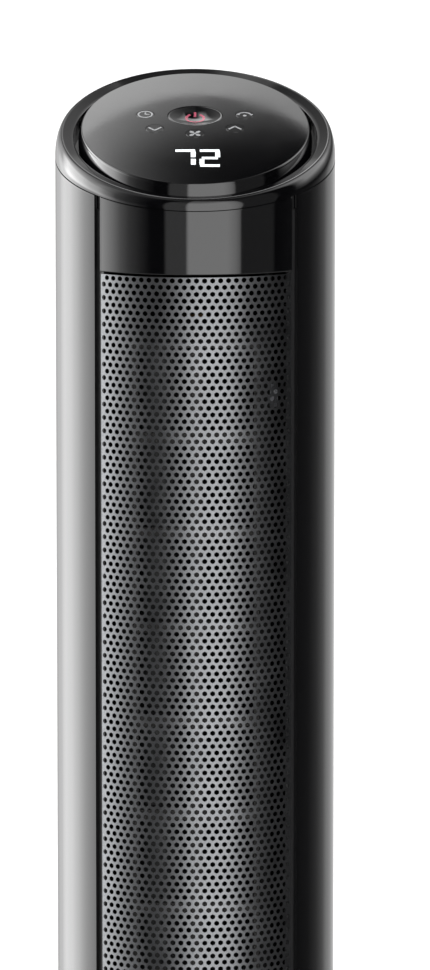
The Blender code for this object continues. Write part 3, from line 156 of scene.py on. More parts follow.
# Crest ring
CREST_INSET = 0.0045
SHOULDER_DEPTH = 0.0140
RING_FALL = 0.0016
RING_SEAM = 0.0009
RING_LIP = 0.0003  # bevel over the seam
RING_FLANK = 0.002  # inner points this far above the seam follow the crest
GROOVE_LIP = 0.0008  # rounding at the groove's mouth
GROOVE_LIP_START = 0.0006
GROOVE_LIP_DROP = 0.0010
RING_SKIRT_DEPTH = 0.009
RING_SKIRT_WALL = 0.002
GROOVE_RADIUS = 0.0772
LEDGE_RADIUS = 0.0592
LEDGE_DEPTH = 0.0095
LEDGE_WALL = 0.0025

# Control disc
CAP_RADIUS = 0.0742
CAP_RISE = 0.0032
CAP_DOME = 0.0015
CAP_EDGE = 0.0025
CAP_SOFT_EDGE = (0.0009, 0.0016)  # how far its rounding reaches out and down
CAP_DRAFT_END = -0.0034  # the wall leans in above this height
CAP_WALL = 0.0022
CAP_UNDERSIDE = 0.0016
CAP_KNIFE_TOP = 0.012
CAP_FLAT = CAP_RADIUS - CAP_EDGE
KEY_RADIUS = 0.0058
KEY_DEPTH = 0.0016
KEY_GAP = 0.00012
KEY_SOFT_EDGE = 0.0002
POWER_HALF_WIDTH = 0.0175
POWER_HALF_DEPTH = 0.0140
POWER_RIM = 0.0012
POWER_DISH_DEPTH = 0.0022
POWER_SOFT_EDGE = 0.0003
POWER_WALL_DEPTH = 0.0034
POWER_MARK_RADIUS = 0.0056
POWER_MARK_STROKE = 0.0016
POWER_MARK_GAP = 32  # half the ring's opening at its top, in degrees
POWER_MARK_BAR = (0.0022, 0.0074)
POWER_PLACE = (0.0, 0.0156)
KEY_PLACES = {
    "timer": (-0.0317, 0.0178),
    "down": (-0.0257, -0.0023),
    "mode": (-0.0003, -0.0096),
    "up": (0.0251, -0.0020),
    "swing": (0.0316, 0.0173),
}
DIGIT_WIDTH = 0.0130
DIGIT_HEIGHT = 0.0228
DIGIT_STROKE = 0.0030
DIGIT_PLACES = {"tens": -0.0066, "units": 0.0088}
DIGIT_CENTRE = -0.0429

# Fineness
ROUND_STEPS = 240
SMALL_STEPS = 48
ARC_STEPS = 8
ALL_ROUND = 2 * math.pi

TILTED = Matrix.Translation((0, 0, CREST_HEIGHT)) @ Matrix.Rotation(CREST_TILT, 4, "X")


def seam_height(y):
    """Height of the joint between shell and ring."""
    return SEAM_HEIGHT + y * math.tan(SEAM_TILT)


def crest_height(y):
    """Height of the plane through the ring's crest."""
    return CREST_HEIGHT + y * math.tan(CREST_TILT)


def polar(radius, angle):
    """Plan position at an angle from the front."""
    return radius * math.sin(angle), -radius * math.cos(angle)


def dome_height(u, v):
    """Height w of the control disc's surface over a point of the tilted frame."""
    rise = CAP_RISE + CAP_DOME
    y = (v - rise * math.sin(CREST_TILT)) * math.cos(CREST_TILT)
    lowered = CAP_DOME * (u * u + y * y) / CAP_FLAT ** 2
    return (rise - lowered) * math.cos(CREST_TILT)


# Colours and nodes

def srgb(code):
    """Linear colour of an sRGB hex value."""
    channels = [int(code[place:place + 2], 16) / 255 for place in (0, 2, 4)]
    return (*[c / 12.92 if c < 0.04045 else ((c + 0.055) / 1.055) ** 2.4 for c in channels], 1)


def connect(tree, node, **links):
    """Set or link a node's inputs; a name is its socket's, or s and the socket's number."""
    for name, value in links.items():
        key = int(name[1:]) if name[1:].isdigit() else name.replace("_", " ")
        if isinstance(value, bpy.types.NodeSocket):
            tree.links.new(value, node.inputs[key])
        else:
            node.inputs[key].default_value = value


def add(tree, kind, settings=None, **links):
    """Add a node with its settings and links."""
    made = tree.nodes.new(f"ShaderNode{kind}")
    for name, value in (settings or {}).items():
        setattr(made, name, value)
    connect(tree, made, **links)
    return made


def blank(name, **settings):
    """New material with a shader, its constant values set on the shader's own sockets."""
    made = bpy.data.materials.new(name)
    made.use_nodes = True
    tree = made.node_tree
    shader = tree.nodes["Principled BSDF"]
    connect(tree, shader, **settings)
    place = add(tree, "TexCoord").outputs["Object"]
    return made, tree, shader, place


def lumps(tree, place, size, detail, low=0.0, high=1.0):
    """Values that waver between two, in lumps of about this size in metres."""
    noise = add(tree, "TexNoise", Vector=place, Scale=1 / size, Detail=detail).outputs["Fac"]
    return add(tree, "MapRange", s0=noise, s1=0.3, s2=0.7, s3=low, s4=high).outputs[0]


def mottled(tree, place, size, detail, first, second):
    """Colour that wavers between two, in such lumps."""
    share = lumps(tree, place, size, detail)
    return add(tree, "MixRGB", s0=share, s1=first, s2=second).outputs["Color"]


def pebbled(tree, place, size, detail, strength, depth):
    """Relief in grains of about this size, its depth a real one, both in metres."""
    noise = add(tree, "TexNoise", Vector=place, Scale=1 / size, Detail=detail).outputs["Fac"]
    return add(tree, "Bump", Height=noise, Strength=strength, Distance=depth).outputs["Normal"]


# Materials

def piano_black_abs():
    """High-gloss moulded ABS: deep black with sharp reflections that waver slightly."""
    made, tree, shader, place = blank("piano_black_abs", Base_Color=srgb("060607"), IOR=1.52)
    # Handling leaves faint clouds of dullness about 30 mm across.
    connect(tree, shader, Roughness=lumps(tree, place, 0.03, 4, 0.035, 0.075))
    # Orange peel of the mould's polish, 3 mm waves a few micrometres deep.
    connect(tree, shader, Normal=pebbled(tree, place, 0.003, 1, 0.10, 0.00002))
    return made


def textured_abs():
    """Spark-eroded ABS: satin black with a fine pebble that spreads the light."""
    made, tree, shader, place = blank("textured_black_abs", Base_Color=srgb("1a1a1b"), IOR=1.52)
    connect(tree, shader, Roughness=lumps(tree, place, 0.012, 3, 0.40, 0.52))
    # The real pebble is 0.15 mm, drawn at 0.6 mm so that it shows.
    connect(tree, shader, Normal=pebbled(tree, place, 0.0006, 2, 0.35, 0.00005))
    return made


def painted_sheet_steel():
    """Perforated steel with a metallic grey lacquer: satin, its flakes sparkle a little."""
    made, tree, shader, place = blank("metallic_grey_sheet_steel", Metallic=1.0)
    # Flakes are 0.05 mm, drawn as 0.8 mm clouds of lighter and darker lacquer.
    flakes = mottled(tree, place, 0.0008, 2, srgb("5c5d5f"), srgb("6c6d6f"))
    connect(tree, shader, Base_Color=flakes, Roughness=lumps(tree, place, 0.02, 3, 0.28, 0.36),
            Normal=pebbled(tree, place, 0.0012, 1, 0.15, 0.00002))
    return made


def plated_steel(name, tone, roughness):
    """Zinc or nickel plated steel: cool grey metal with a faint crystalline mottle."""
    made, tree, shader, place = blank(name, Metallic=1.0, Base_Color=srgb(tone))
    connect(tree, shader, Roughness=lumps(tree, place, 0.004, 3, roughness - 0.06, roughness + 0.08))
    return made


def moulded_rubber():
    """Black TPE: dull, slightly grey where it is dusty."""
    made, tree, shader, place = blank("moulded_rubber", IOR=1.50)
    dust = mottled(tree, place, 0.006, 4, srgb("1c1c1c"), srgb("2a2a2a"))
    connect(tree, shader, Base_Color=dust, Roughness=lumps(tree, place, 0.004, 2, 0.70, 0.85),
            Normal=pebbled(tree, place, 0.0005, 2, 0.4, 0.00005))
    return made


def moulded_resin(name, tone, roughness=0.45, specular=0.5):
    """Plain moulded engineering plastic with a fine mould texture."""
    made, tree, shader, place = blank(name, Base_Color=srgb(tone), IOR=1.53, Specular_IOR_Level=specular)
    connect(tree, shader, Roughness=lumps(tree, place, 0.01, 3, roughness - 0.05, roughness + 0.07),
            Normal=pebbled(tree, place, 0.0008, 2, 0.2, 0.00004))
    return made


def shade_darkened_aluminium():
    """Heater fins of dull aluminium, painted near black as painted shade for the dark inside behind the
    grille, with fine draw lines up the fin.
    """
    made, tree, shader, place = blank("shade_darkened_aluminium", Metallic=0.6, Base_Color=srgb("1d1c1b"))
    stretched = add(tree, "Mapping", Vector=place, Scale=(1, 1, 0.02)).outputs["Vector"]
    connect(tree, shader, Roughness=lumps(tree, stretched, 0.0006, 2, 0.22, 0.42))
    return made


def enamelled_copper():
    """Wound copper wire, its turns drawn as ridges 1 mm apart."""
    made, tree, shader, place = blank("enamelled_copper", Metallic=1.0, Base_Color=srgb("c9733f"),
                                      Roughness=0.3)
    turns = add(tree, "TexWave", {"bands_direction": "Z"}, Vector=place, Scale=320.0).outputs["Fac"]
    ridges = add(tree, "Bump", Height=turns, Strength=0.6, Distance=0.0002)
    connect(tree, shader, Normal=ridges.outputs["Normal"])
    return made


def solder_mask():
    """Fibreglass board under green solder mask, with its tracks just showing."""
    made, tree, shader, place = blank("solder_mask", IOR=1.5, Roughness=0.3)
    tracks = add(tree, "TexBrick", Vector=place, Scale=120.0, Mortar_Size=0.05).outputs["Fac"]
    tone = add(tree, "MixRGB", s0=tracks, s1=srgb("0f4f2b"), s2=srgb("1a6b3c"))
    connect(tree, shader, Base_Color=tone.outputs["Color"])
    return made


def filter_foam():
    """Open-cell polyurethane foam: 1.2 mm pores in charcoal."""
    made, tree, shader, place = blank("open_cell_foam", Roughness=0.95, IOR=1.45)
    cells = add(tree, "TexVoronoi", Vector=place, Scale=1 / 0.0012).outputs["Distance"]
    tone = add(tree, "MixRGB", s0=cells, s1=srgb("0c0c0d"), s2=srgb("3a3a3d"))
    pores = add(tree, "Bump", Height=cells, Strength=0.9, Distance=0.0006)
    connect(tree, shader, Base_Color=tone.outputs["Color"], Normal=pores.outputs["Normal"])
    return made


def screen_ink(name, tone, glow=0.0):
    """Screen-printed mark under the disc's lacquer, a little uneven in its cover."""
    made, tree, shader, place = blank(name, IOR=1.5, Roughness=0.25, Emission_Color=srgb(tone),
                                      Emission_Strength=glow)
    shade = tuple(channel * 0.8 for channel in srgb(tone)[:3])
    connect(tree, shader, Base_Color=mottled(tree, place, 0.0015, 2, (*shade, 1), srgb(tone)))
    return made


GLOSS = piano_black_abs()
SATIN = textured_abs()
SHEET = painted_sheet_steel()
ZINC = plated_steel("zinc_plated_steel", "b8bab6", 0.34)
NICKEL = plated_steel("nickel_plated_screw", "c8c8c9", 0.24)
RUBBER = moulded_rubber()
NYLON = moulded_resin("natural_nylon", "d9d6c9", 0.42)
RESIN = moulded_resin("grey_glass_filled_resin", "75767a", 0.55)
# Mineral-filled black resin, near black and nearly without shine: painted shade for the heater's dark
# inside, on its decks, its heater frame and the inside of the shell
HEAT_RESIN_SHADED = moulded_resin("heat_proof_resin_painted_shade", "0b0b0b", 0.80, 0.2)
FINS = shade_darkened_aluminium()
COPPER = enamelled_copper()
BOARD = solder_mask()
BRONZE = plated_steel("oiled_sintered_bronze", "57452f", 0.45)
FOAM = filter_foam()
GREY_INK = screen_ink("grey_key_ink", "8f9092")
RED_INK = screen_ink("red_power_ink", "a8455c", 0.04)
READOUT = screen_ink("white_readout_segment", "e9edf0", 0.62)


# Shapes

def outline_edges(bm, outline, closed=True):
    """Edges of a (radius, height) outline, drawn from the axis towards the front."""
    verts = [bm.verts.new((0, -radius, height)) for radius, height in outline]
    pairs = list(zip(verts, verts[1:]))
    if closed:
        pairs.append((verts[-1], verts[0]))
    return verts + [bm.edges.new(pair) for pair in pairs]


def sweep(bm, outline, start, end, steps):
    """Turn a closed outline between two angles from the front, its ends left open."""
    geometry = outline_edges(bm, outline)
    corners = [item for item in geometry if isinstance(item, bmesh.types.BMVert)]
    bmesh.ops.rotate(bm, matrix=Matrix.Rotation(start, 3, "Z"), verts=corners)
    bmesh.ops.spin(bm, geom=geometry, axis=(0, 0, 1), angle=end - start, steps=steps)


def turned(outline, steps=ROUND_STEPS, closed=True):
    """Full turn of an outline; an open one starts and ends on the axis."""
    bm = bmesh.new()
    geometry = outline_edges(bm, outline, closed)
    bmesh.ops.spin(bm, geom=geometry, axis=(0, 0, 1), angle=ALL_ROUND, steps=steps, use_merge=True)
    bmesh.ops.remove_doubles(bm, verts=bm.verts, dist=0.000001)
    bmesh.ops.recalc_face_normals(bm, faces=bm.faces)
    return bm


def close_ends(bm):
    """Fill a swept wall's open ends."""
    bmesh.ops.remove_doubles(bm, verts=bm.verts, dist=0.000001)
    ends = [edge for edge in bm.edges if edge.is_boundary]
    bmesh.ops.holes_fill(bm, edges=ends, sides=0)
    bmesh.ops.recalc_face_normals(bm, faces=bm.faces)


def soften(bm, width, segments=3, sharper_than=50):
    """Round the edges that are sharper than an angle."""
    bmesh.ops.recalc_face_normals(bm, faces=bm.faces)
    limit = math.radians(sharper_than)
    edges = [edge for edge in bm.edges if edge.is_manifold and edge.calc_face_angle(0) > limit]
    bmesh.ops.bevel(bm, geom=edges, offset=width, offset_type="OFFSET", segments=segments, profile=0.5,
                    affect="EDGES", material=-1, clamp_overlap=True)


def wall(inner, outer, bottom, top):
    """Outline of a plain wall."""
    return [(outer, bottom), (outer, top), (inner, top), (inner, bottom)]


def arc(centre, radius, start, end, steps=ARC_STEPS):
    """Points of a round corner in an outline, between two angles in degrees."""
    turns = [math.radians(start + (end - start) * step / steps) for step in range(steps + 1)]
    return [(centre[0] + radius * math.cos(turn), centre[1] + radius * math.sin(turn)) for turn in turns]


def lift_above(bm, level, height_at):
    """Lay every point that is higher than a level on a slanting plane."""
    for vert in bm.verts:
        if vert.co.z > level:
            vert.co.z = height_at(vert.co.y)


def box(bm, low, high):
    """Box between two corners."""
    verts = bmesh.ops.create_cube(bm, size=1)["verts"]
    low, high = Vector(low), Vector(high)
    bmesh.ops.scale(bm, vec=high - low, verts=verts)
    bmesh.ops.translate(bm, vec=(low + high) / 2, verts=verts)
    return verts


def rod(bm, radius, bottom, top, x=0, y=0, steps=SMALL_STEPS, stretch=1):
    """Upright cylinder, or an oval one where its depth is stretched."""
    verts = bmesh.ops.create_cone(bm, cap_ends=True, segments=steps, radius1=radius, radius2=radius,
                                  depth=top - bottom)["verts"]
    bmesh.ops.scale(bm, vec=(1, stretch, 1), verts=verts)
    bmesh.ops.translate(bm, vec=(x, y, (bottom + top) / 2), verts=verts)
    return verts


def merge(bm, part, place=None):
    """Add one shape to another, moved to its place."""
    if place is not None:
        bmesh.ops.transform(part, matrix=place, verts=part.verts)
    mesh = bpy.data.meshes.new("part")
    part.to_mesh(mesh)
    part.free()
    bm.from_mesh(mesh)
    bpy.data.meshes.remove(mesh)


def carved(bm, knife):
    """One shape cut by another."""
    pair = []
    for shape in (bm, knife):
        mesh = bpy.data.meshes.new("blank")
        shape.to_mesh(mesh)
        shape.free()
        pair.append(bpy.data.objects.new("blank", mesh))
        bpy.context.collection.objects.link(pair[-1])
    cut = pair[0].modifiers.new("cut", "BOOLEAN")
    cut.operation = "DIFFERENCE"
    cut.object = pair[1]
    result = bmesh.new()
    result.from_object(pair[0], bpy.context.evaluated_depsgraph_get())
    for obj in pair:
        bpy.data.objects.remove(obj, do_unlink=True)
    return result


def piece(name, bm, material, body, stands_for=(), place=None, weighted=True):
    """Finished piece of the heater, its place baked into its mesh."""
    if place is not None:
        bmesh.ops.transform(bm, matrix=place, verts=bm.verts)
    mesh = bpy.data.meshes.new(name)
    bm.to_mesh(mesh)
    bm.free()
    mesh.materials.append(material)
    mesh.shade_smooth()
    mesh.set_sharp_from_angle(angle=math.radians(35))
    obj = bpy.data.objects.new(name, mesh)
    bpy.context.scene.collection.objects.link(obj)
    if weighted:
        even = obj.modifiers.new("even_shading", "WEIGHTED_NORMAL")
        even.keep_sharp = True
    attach(obj, body)
    if stands_for:
        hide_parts(*stands_for)
    return obj


# Column

def shell_screw_places():
    """Seats of the shell's screws, each one's local height pointing inwards."""
    seat = Matrix.Translation((0, SCREW_HEAD_HEIGHT - BODY_RADIUS, 0))
    flat = Matrix.Rotation(-math.pi / 2, 4, "X")
    return [Matrix.Translation((0, 0, height)) @ Matrix.Rotation(side * SHELL_SCREW_ANGLE, 4, "Z") @ seat
            @ flat for height in LUG_HEIGHTS for side in (-1, 1)]


def dress_shell():
    """C-shaped gloss shell with softened edges, the intake window and the screws' recesses."""
    bm = bmesh.new()
    heights = (SHELL_BOTTOM, INTAKE_BOTTOM, INTAKE_TOP, SEAM_HEIGHT)
    outline = [(BODY_RADIUS, height) for height in heights]
    outline += [(SHELL_INNER, height) for height in heights[::-1]]
    window = math.asin(INTAKE_HALF_WIDTH / BODY_RADIUS)
    rear = math.pi - window
    sweep(bm, outline, SHELL_EDGE_ANGLE, rear, 88)
    sweep(bm, outline, rear, ALL_ROUND - rear, 38)
    sweep(bm, outline, ALL_ROUND - rear, ALL_ROUND - SHELL_EDGE_ANGLE, 88)
    close_ends(bm)
    opened = []
    for face in bm.faces:
        centre = face.calc_center_median()
        upright = abs(face.normal.z) < 0.5
        behind = centre.y > 0 and abs(centre.x) < INTAKE_HALF_WIDTH - GAP
        if upright and behind and INTAKE_BOTTOM < centre.z < INTAKE_TOP:
            opened.append(face)
    bmesh.ops.delete(bm, geom=opened, context="FACES")
    bmesh.ops.bridge_loops(bm, edges=[edge for edge in bm.edges if edge.is_boundary])
    lift_above(bm, (INTAKE_TOP + SEAM_HEIGHT) / 2, seam_height)
    soften(bm, SHELL_SOFT_EDGE, 2)
    cuts = bmesh.new()
    rod(cuts, INLET_HOLE_RADIUS, SHELL_INNER - OVERRUN, BODY_RADIUS + OVERRUN)
    back = Matrix.Rotation(math.pi, 4, "Z") @ Matrix.Rotation(math.pi / 2, 4, "X")
    bmesh.ops.transform(cuts, matrix=Matrix.Translation((0, 0, INLET_HEIGHT)) @ back, verts=cuts.verts)
    head, shank, reach = SCREW_HEAD_RADIUS + GAP, SCREW_RADIUS + GAP, SCREW_KNIFE_REACH
    stepped = [(0, -reach), (head, -reach), (head, GAP), (shank, GAP), (shank, reach), (0, reach)]
    for place in shell_screw_places():
        merge(cuts, turned(stepped, SMALL_STEPS, closed=False), place)
    bm = carved(bm, cuts)
    # Inner faces of the shell take the near-black, shineless resin: painted shade inside the shell
    dull = SHELL_INNER + GAP
    for face in bm.faces:
        face.material_index = int(all(vert.co.xy.length < dull for vert in face.verts))
    made = piece("gloss_shell", bm, GLOSS, "tower", ["rear_shell"])
    made.data.materials.append(HEAT_RESIN_SHADED)


def dress_bands():
    """Gloss bands above and below the grille, with softened edges."""
    for name, bottom, top, node in (("upper_gloss_band", BAND_BOTTOM, SEAM_HEIGHT, "front_band_upper"),
                                    ("lower_gloss_band", SHELL_BOTTOM, LOWER_BAND_TOP, "front_band_lower")):
        bm = bmesh.new()
        sweep(bm, wall(BAND_RADIUS - BAND_WALL, BAND_RADIUS, bottom, top), -PANEL_EDGE_ANGLE,
              PANEL_EDGE_ANGLE, 72)
        close_ends(bm)
        lift_above(bm, (BAND_BOTTOM + SEAM_HEIGHT) / 2, seam_height)
        soften(bm, BAND_SOFT_EDGE, 3)
        piece(name, bm, GLOSS, "tower", [node])


def dress_rails():
    """Dark rails behind the narrow channels between shell and panel."""
    start = PANEL_EDGE_ANGLE - RAIL_BEHIND_SHEET
    end = SHELL_EDGE_ANGLE + RAIL_BEHIND_SHELL
    for side, first, last in (("right", start, end), ("left", -end, -start)):
        bm = bmesh.new()
        sweep(bm, wall(DECK_RADIUS - RAIL_WALL, DECK_RADIUS, RAIL_BOTTOM, SEAM_HEIGHT), first, last, 12)
        close_ends(bm)
        lift_above(bm, SHEET_TOP, lambda y: seam_height(y) - RING_SKIRT_DEPTH - GAP)
        piece(f"{side}_channel_rail", bm, SATIN, "tower", [f"grille_rail_{side}"])


def dress_grille():
    """Perforated sheet: staggered round holes, each with eight sides."""
    bm = bmesh.new()
    half_width = SHEET_RADIUS * PANEL_EDGE_ANGLE
    half_height = (SHEET_TOP - SHEET_BOTTOM) / 2
    bmesh.ops.create_grid(bm, x_segments=2 * HOLE_PITCHES, y_segments=2 * HOLE_ROWS, size=1)
    bmesh.ops.scale(bm, vec=(half_width, half_height, 1), verts=bm.verts)
    step_x = half_width / HOLE_PITCHES
    step_y = half_height / HOLE_ROWS
    centres = []
    for vert in bm.verts:
        column = round((vert.co.x + half_width) / step_x)
        row = round((vert.co.y + half_height) / step_y)
        inside = 0 < column < 2 * HOLE_PITCHES
        if inside and row % 2 == 1 and (column + row // 2) % 2 == 1:
            centres.append(vert)
    bmesh.ops.dissolve_verts(bm, verts=centres)
    holes = [face for face in bm.faces if len(face.verts) > 4]
    # The inset only makes the corners, which then move onto the hole's circle
    bmesh.ops.inset_individual(bm, faces=holes, thickness=step_y / 3)
    for face in holes:
        centre = face.calc_center_median()
        for vert in face.verts:
            vert.co = centre + (vert.co - centre).normalized() * HOLE_RADIUS
    bmesh.ops.delete(bm, geom=holes, context="FACES_ONLY")
    for vert in bm.verts:
        x, y = polar(SHEET_RADIUS, vert.co.x / SHEET_RADIUS)
        vert.co = (x, y, vert.co.y + (SHEET_TOP + SHEET_BOTTOM) / 2)
    bmesh.ops.recalc_face_normals(bm, faces=bm.faces)
    bmesh.ops.solidify(bm, geom=bm.faces[:], thickness=SHEET_THICKNESS)
    bm.normal_update()
    # The holes' walls, faces across the sheet, take the dark satin plastic instead of the grey lacquer:
    # painted shade that keeps the holes black
    for face in bm.faces:
        centre = face.calc_center_median()
        across = face.normal.xy.dot(centre.xy) / centre.xy.length
        face.material_index = int(abs(across) < 0.7)
    made = piece("perforated_grille", bm, SHEET, "tower", ["grille_sheet"], weighted=False)
    made.data.materials.append(SATIN)


# Slanted top

def ring_outline():
    """Ring in section, its height counted from the seam."""
    crest = BODY_RADIUS - CREST_INSET
    underside = RING_RISE - LEDGE_DEPTH - LEDGE_WALL
    mouth = GROOVE_RADIUS + GROOVE_LIP
    outline = [(BODY_RADIUS - RING_LIP, RING_SEAM), (BODY_RADIUS, RING_SEAM + RING_LIP)]
    steps = 2 * ARC_STEPS
    for step in range(steps + 1):
        angle = math.pi / 2 * step / steps
        outline.append((crest + CREST_INSET * math.cos(angle),
                        RING_RISE - SHOULDER_DEPTH * (1 - math.sin(angle))))
    for step in range(1, ARC_STEPS):
        share = step / ARC_STEPS
        radius = crest - (crest - GROOVE_RADIUS - GROOVE_LIP_START) * share
        outline.append((radius, RING_RISE - RING_FALL * share))
    outline += arc((mouth, RING_RISE - RING_FALL - GROOVE_LIP_DROP), GROOVE_LIP, 100, 180, 5)
    outline += [(GROOVE_RADIUS, RING_RISE - LEDGE_DEPTH), (LEDGE_RADIUS, RING_RISE - LEDGE_DEPTH),
                (LEDGE_RADIUS, underside), (DECK_RADIUS - RING_SKIRT_WALL, underside),
                (DECK_RADIUS - RING_SKIRT_WALL, -RING_SKIRT_DEPTH), (DECK_RADIUS, -RING_SKIRT_DEPTH),
                (DECK_RADIUS, RING_SEAM)]
    return outline


def dress_ring():
    """Rounded crest ring: its seam lies on one slant, everything above it on the crest's slant."""
    bm = turned(ring_outline())
    for vert in bm.verts:
        seam, crest = seam_height(vert.co.y), crest_height(vert.co.y)
        outside = vert.co.xy.length > BODY_RADIUS - CREST_INSET - GAP
        if outside and vert.co.z > RING_SEAM:
            vert.co.z = seam + vert.co.z / RING_RISE * (crest - seam)
        elif vert.co.z > RING_SEAM + RING_FLANK:
            vert.co.z += crest - RING_RISE
        else:
            vert.co.z += seam
    piece("crest_ring", bm, GLOSS, "tower", ["top_ring"])


def key_place(place):
    """Matrix of a key in the tilted frame: on the dome and square to it."""
    u, v = place
    step = 0.001
    slope_u = (dome_height(u + step, v) - dome_height(u - step, v)) / (2 * step)
    slope_v = (dome_height(u, v + step) - dome_height(u, v - step)) / (2 * step)
    up = Vector((-slope_u, -slope_v, 1)).normalized()
    lean = Vector((0, 0, 1)).rotation_difference(up).to_matrix().to_4x4()
    return Matrix.Translation((u, v, dome_height(u, v))) @ lean


def dress_disc():
    """Domed gloss disc with the holes that its buttons sit in."""
    outline = [(CAP_FLAT * step / 16, CAP_RISE + CAP_DOME * (1 - (step / 16) ** 2)) for step in range(16)]
    reach, drop = CAP_SOFT_EDGE
    outline += [(CAP_FLAT + reach * math.sin(turn), CAP_RISE - drop * (1 - math.cos(turn)))
                for turn in [math.pi / 2 * step / 12 for step in range(13)]]
    inner = CAP_RADIUS - CAP_WALL
    foot = GAP - LEDGE_DEPTH
    outline += [(CAP_RADIUS, CAP_DRAFT_END), (CAP_RADIUS, foot), (inner, foot), (inner, CAP_UNDERSIDE),
                (0, CAP_UNDERSIDE)]
    bm = turned(outline, closed=False)
    for vert in bm.verts:
        vert.co.z += crest_height(vert.co.y)
    bmesh.ops.transform(bm, matrix=TILTED.inverted(), verts=bm.verts)
    holes = bmesh.new()
    for u, v in KEY_PLACES.values():
        rod(holes, KEY_RADIUS + KEY_GAP, -OVERRUN, CAP_KNIFE_TOP, u, v)
    width = POWER_HALF_WIDTH + KEY_GAP
    stretch = (POWER_HALF_DEPTH + KEY_GAP) / width
    rod(holes, width, -OVERRUN, CAP_KNIFE_TOP, *POWER_PLACE, steps=2 * SMALL_STEPS, stretch=stretch)
    piece("control_disc", carved(bm, holes), GLOSS, "tower", ["control_cap"], TILTED)


def dress_power_button():
    """Concave oval button: a narrow rim round a smooth dish."""
    rim = POWER_HALF_WIDTH - POWER_RIM
    floor = -POWER_DISH_DEPTH
    outline = [(rim * step / 16, floor * (1 - (step / 16) ** 2)) for step in range(17)]
    outline += [(POWER_HALF_WIDTH - POWER_SOFT_EDGE, 0), (POWER_HALF_WIDTH, -POWER_SOFT_EDGE),
                (POWER_HALF_WIDTH, -POWER_WALL_DEPTH), (0, -POWER_WALL_DEPTH)]
    bm = turned(outline, 2 * SMALL_STEPS, closed=False)
    bmesh.ops.scale(bm, vec=(1, POWER_HALF_DEPTH / POWER_HALF_WIDTH, 1), verts=bm.verts)
    place = TILTED @ key_place(POWER_PLACE)
    piece("concave_power_button", bm, GLOSS, "power_button", ["power_button"], place)

    mark = bmesh.new()
    ring_mark(mark, POWER_MARK_RADIUS, POWER_MARK_STROKE, POWER_MARK_GAP, 360 - POWER_MARK_GAP)
    low, high = POWER_MARK_BAR
    bar(mark, (0, low), (0, high), POWER_MARK_STROKE)
    for vert in mark.verts:
        share = math.hypot(vert.co.x, vert.co.y * POWER_HALF_WIDTH / POWER_HALF_DEPTH) / rim
        vert.co.z += floor * (1 - share ** 2)
    piece("power_symbol", mark, RED_INK, "power_button", place=place)


# Marks: thin closed shapes in a key's own plane

def ring_mark(bm, radius, stroke, start=0, end=360, x=0, y=0):
    """Ring or part of one, its angles in degrees from the top, clockwise."""
    part = bmesh.new()
    outline = wall(radius - stroke / 2, radius + stroke / 2, 0, LIFT)
    steps = max(6, round((end - start) / 10))
    sweep(part, outline, math.radians(start), math.radians(end), steps)
    close_ends(part)
    merge(bm, part, Matrix.Translation((x, y, 0)) @ Matrix.Rotation(math.pi, 4, "Z"))


def bar(bm, start, end, stroke):
    """Straight stroke between two points."""
    first, last = Vector((*start, 0)), Vector((*end, 0))
    along = last - first
    part = bmesh.new()
    box(part, (0, -stroke / 2, 0), (along.length, stroke / 2, LIFT))
    merge(bm, part, Matrix.Translation(first) @ Matrix.Rotation(math.atan2(along.y, along.x), 4, "Z"))


def spot(bm, radius, x=0, y=0, steps=24, turn=0.0, stretch=1.0):
    """Filled disc, or a triangle or oval."""
    part = bmesh.new()
    rod(part, radius, 0, LIFT, steps=steps, stretch=stretch)
    merge(bm, part, Matrix.Translation((x, y, 0)) @ Matrix.Rotation(turn, 4, "Z"))


def timer_mark(bm):
    """Clock face with two hands."""
    ring_mark(bm, 0.0044, 0.0010)
    bar(bm, (0, -0.0004), (0, 0.0030), 0.0009)
    bar(bm, (-0.0003, 0), (0.0026, 0), 0.0009)


def arrow_mark(bm, way):
    """Arrow head, upward where the way is 1 and downward where it is -1."""
    for side in (-1, 1):
        bar(bm, (side * 0.0040, way * -0.0016), (side * -0.0002, way * 0.0028), 0.0013)


def mode_mark(bm):
    """Four fan blades round a hub."""
    spot(bm, 0.0009)
    for quarter in range(4):
        turn = math.radians(45 + 90 * quarter)
        spot(bm, 0.0017, 0.0028 * math.cos(turn), 0.0028 * math.sin(turn), turn=turn, stretch=0.7)


def swing_mark(bm):
    """Arc with an arrow head at each end and a dot below it."""
    ring_mark(bm, 0.0044, 0.0010, -62, 62, y=-0.0014)
    spot(bm, 0.0012, 0, -0.0014)
    for side in (-1, 1):
        spot(bm, 0.0015, side * 0.0042, 0.0002, steps=3, turn=math.radians(90 - side * 150))


def dress_keys():
    """Flush round keys with a printed mark each."""
    marks = {"timer": timer_mark, "down": lambda bm: arrow_mark(bm, -1), "mode": mode_mark,
             "up": lambda bm: arrow_mark(bm, 1), "swing": swing_mark}
    for name, place in KEY_PLACES.items():
        node = f"key_{name}"
        body = f"{name}_key"
        outline = [(0, 0), (KEY_RADIUS - KEY_SOFT_EDGE, 0), (KEY_RADIUS, -KEY_SOFT_EDGE),
                   (KEY_RADIUS, -KEY_DEPTH), (0, -KEY_DEPTH)]
        matrix = TILTED @ key_place(place)
        bm = turned(outline, SMALL_STEPS, closed=False)
        piece(f"{name}_key_top", bm, GLOSS, body, [node], matrix)
        mark = bmesh.new()
        marks[name](mark)
        piece(f"{name}_key_mark", mark, GREY_INK, body, place=matrix)


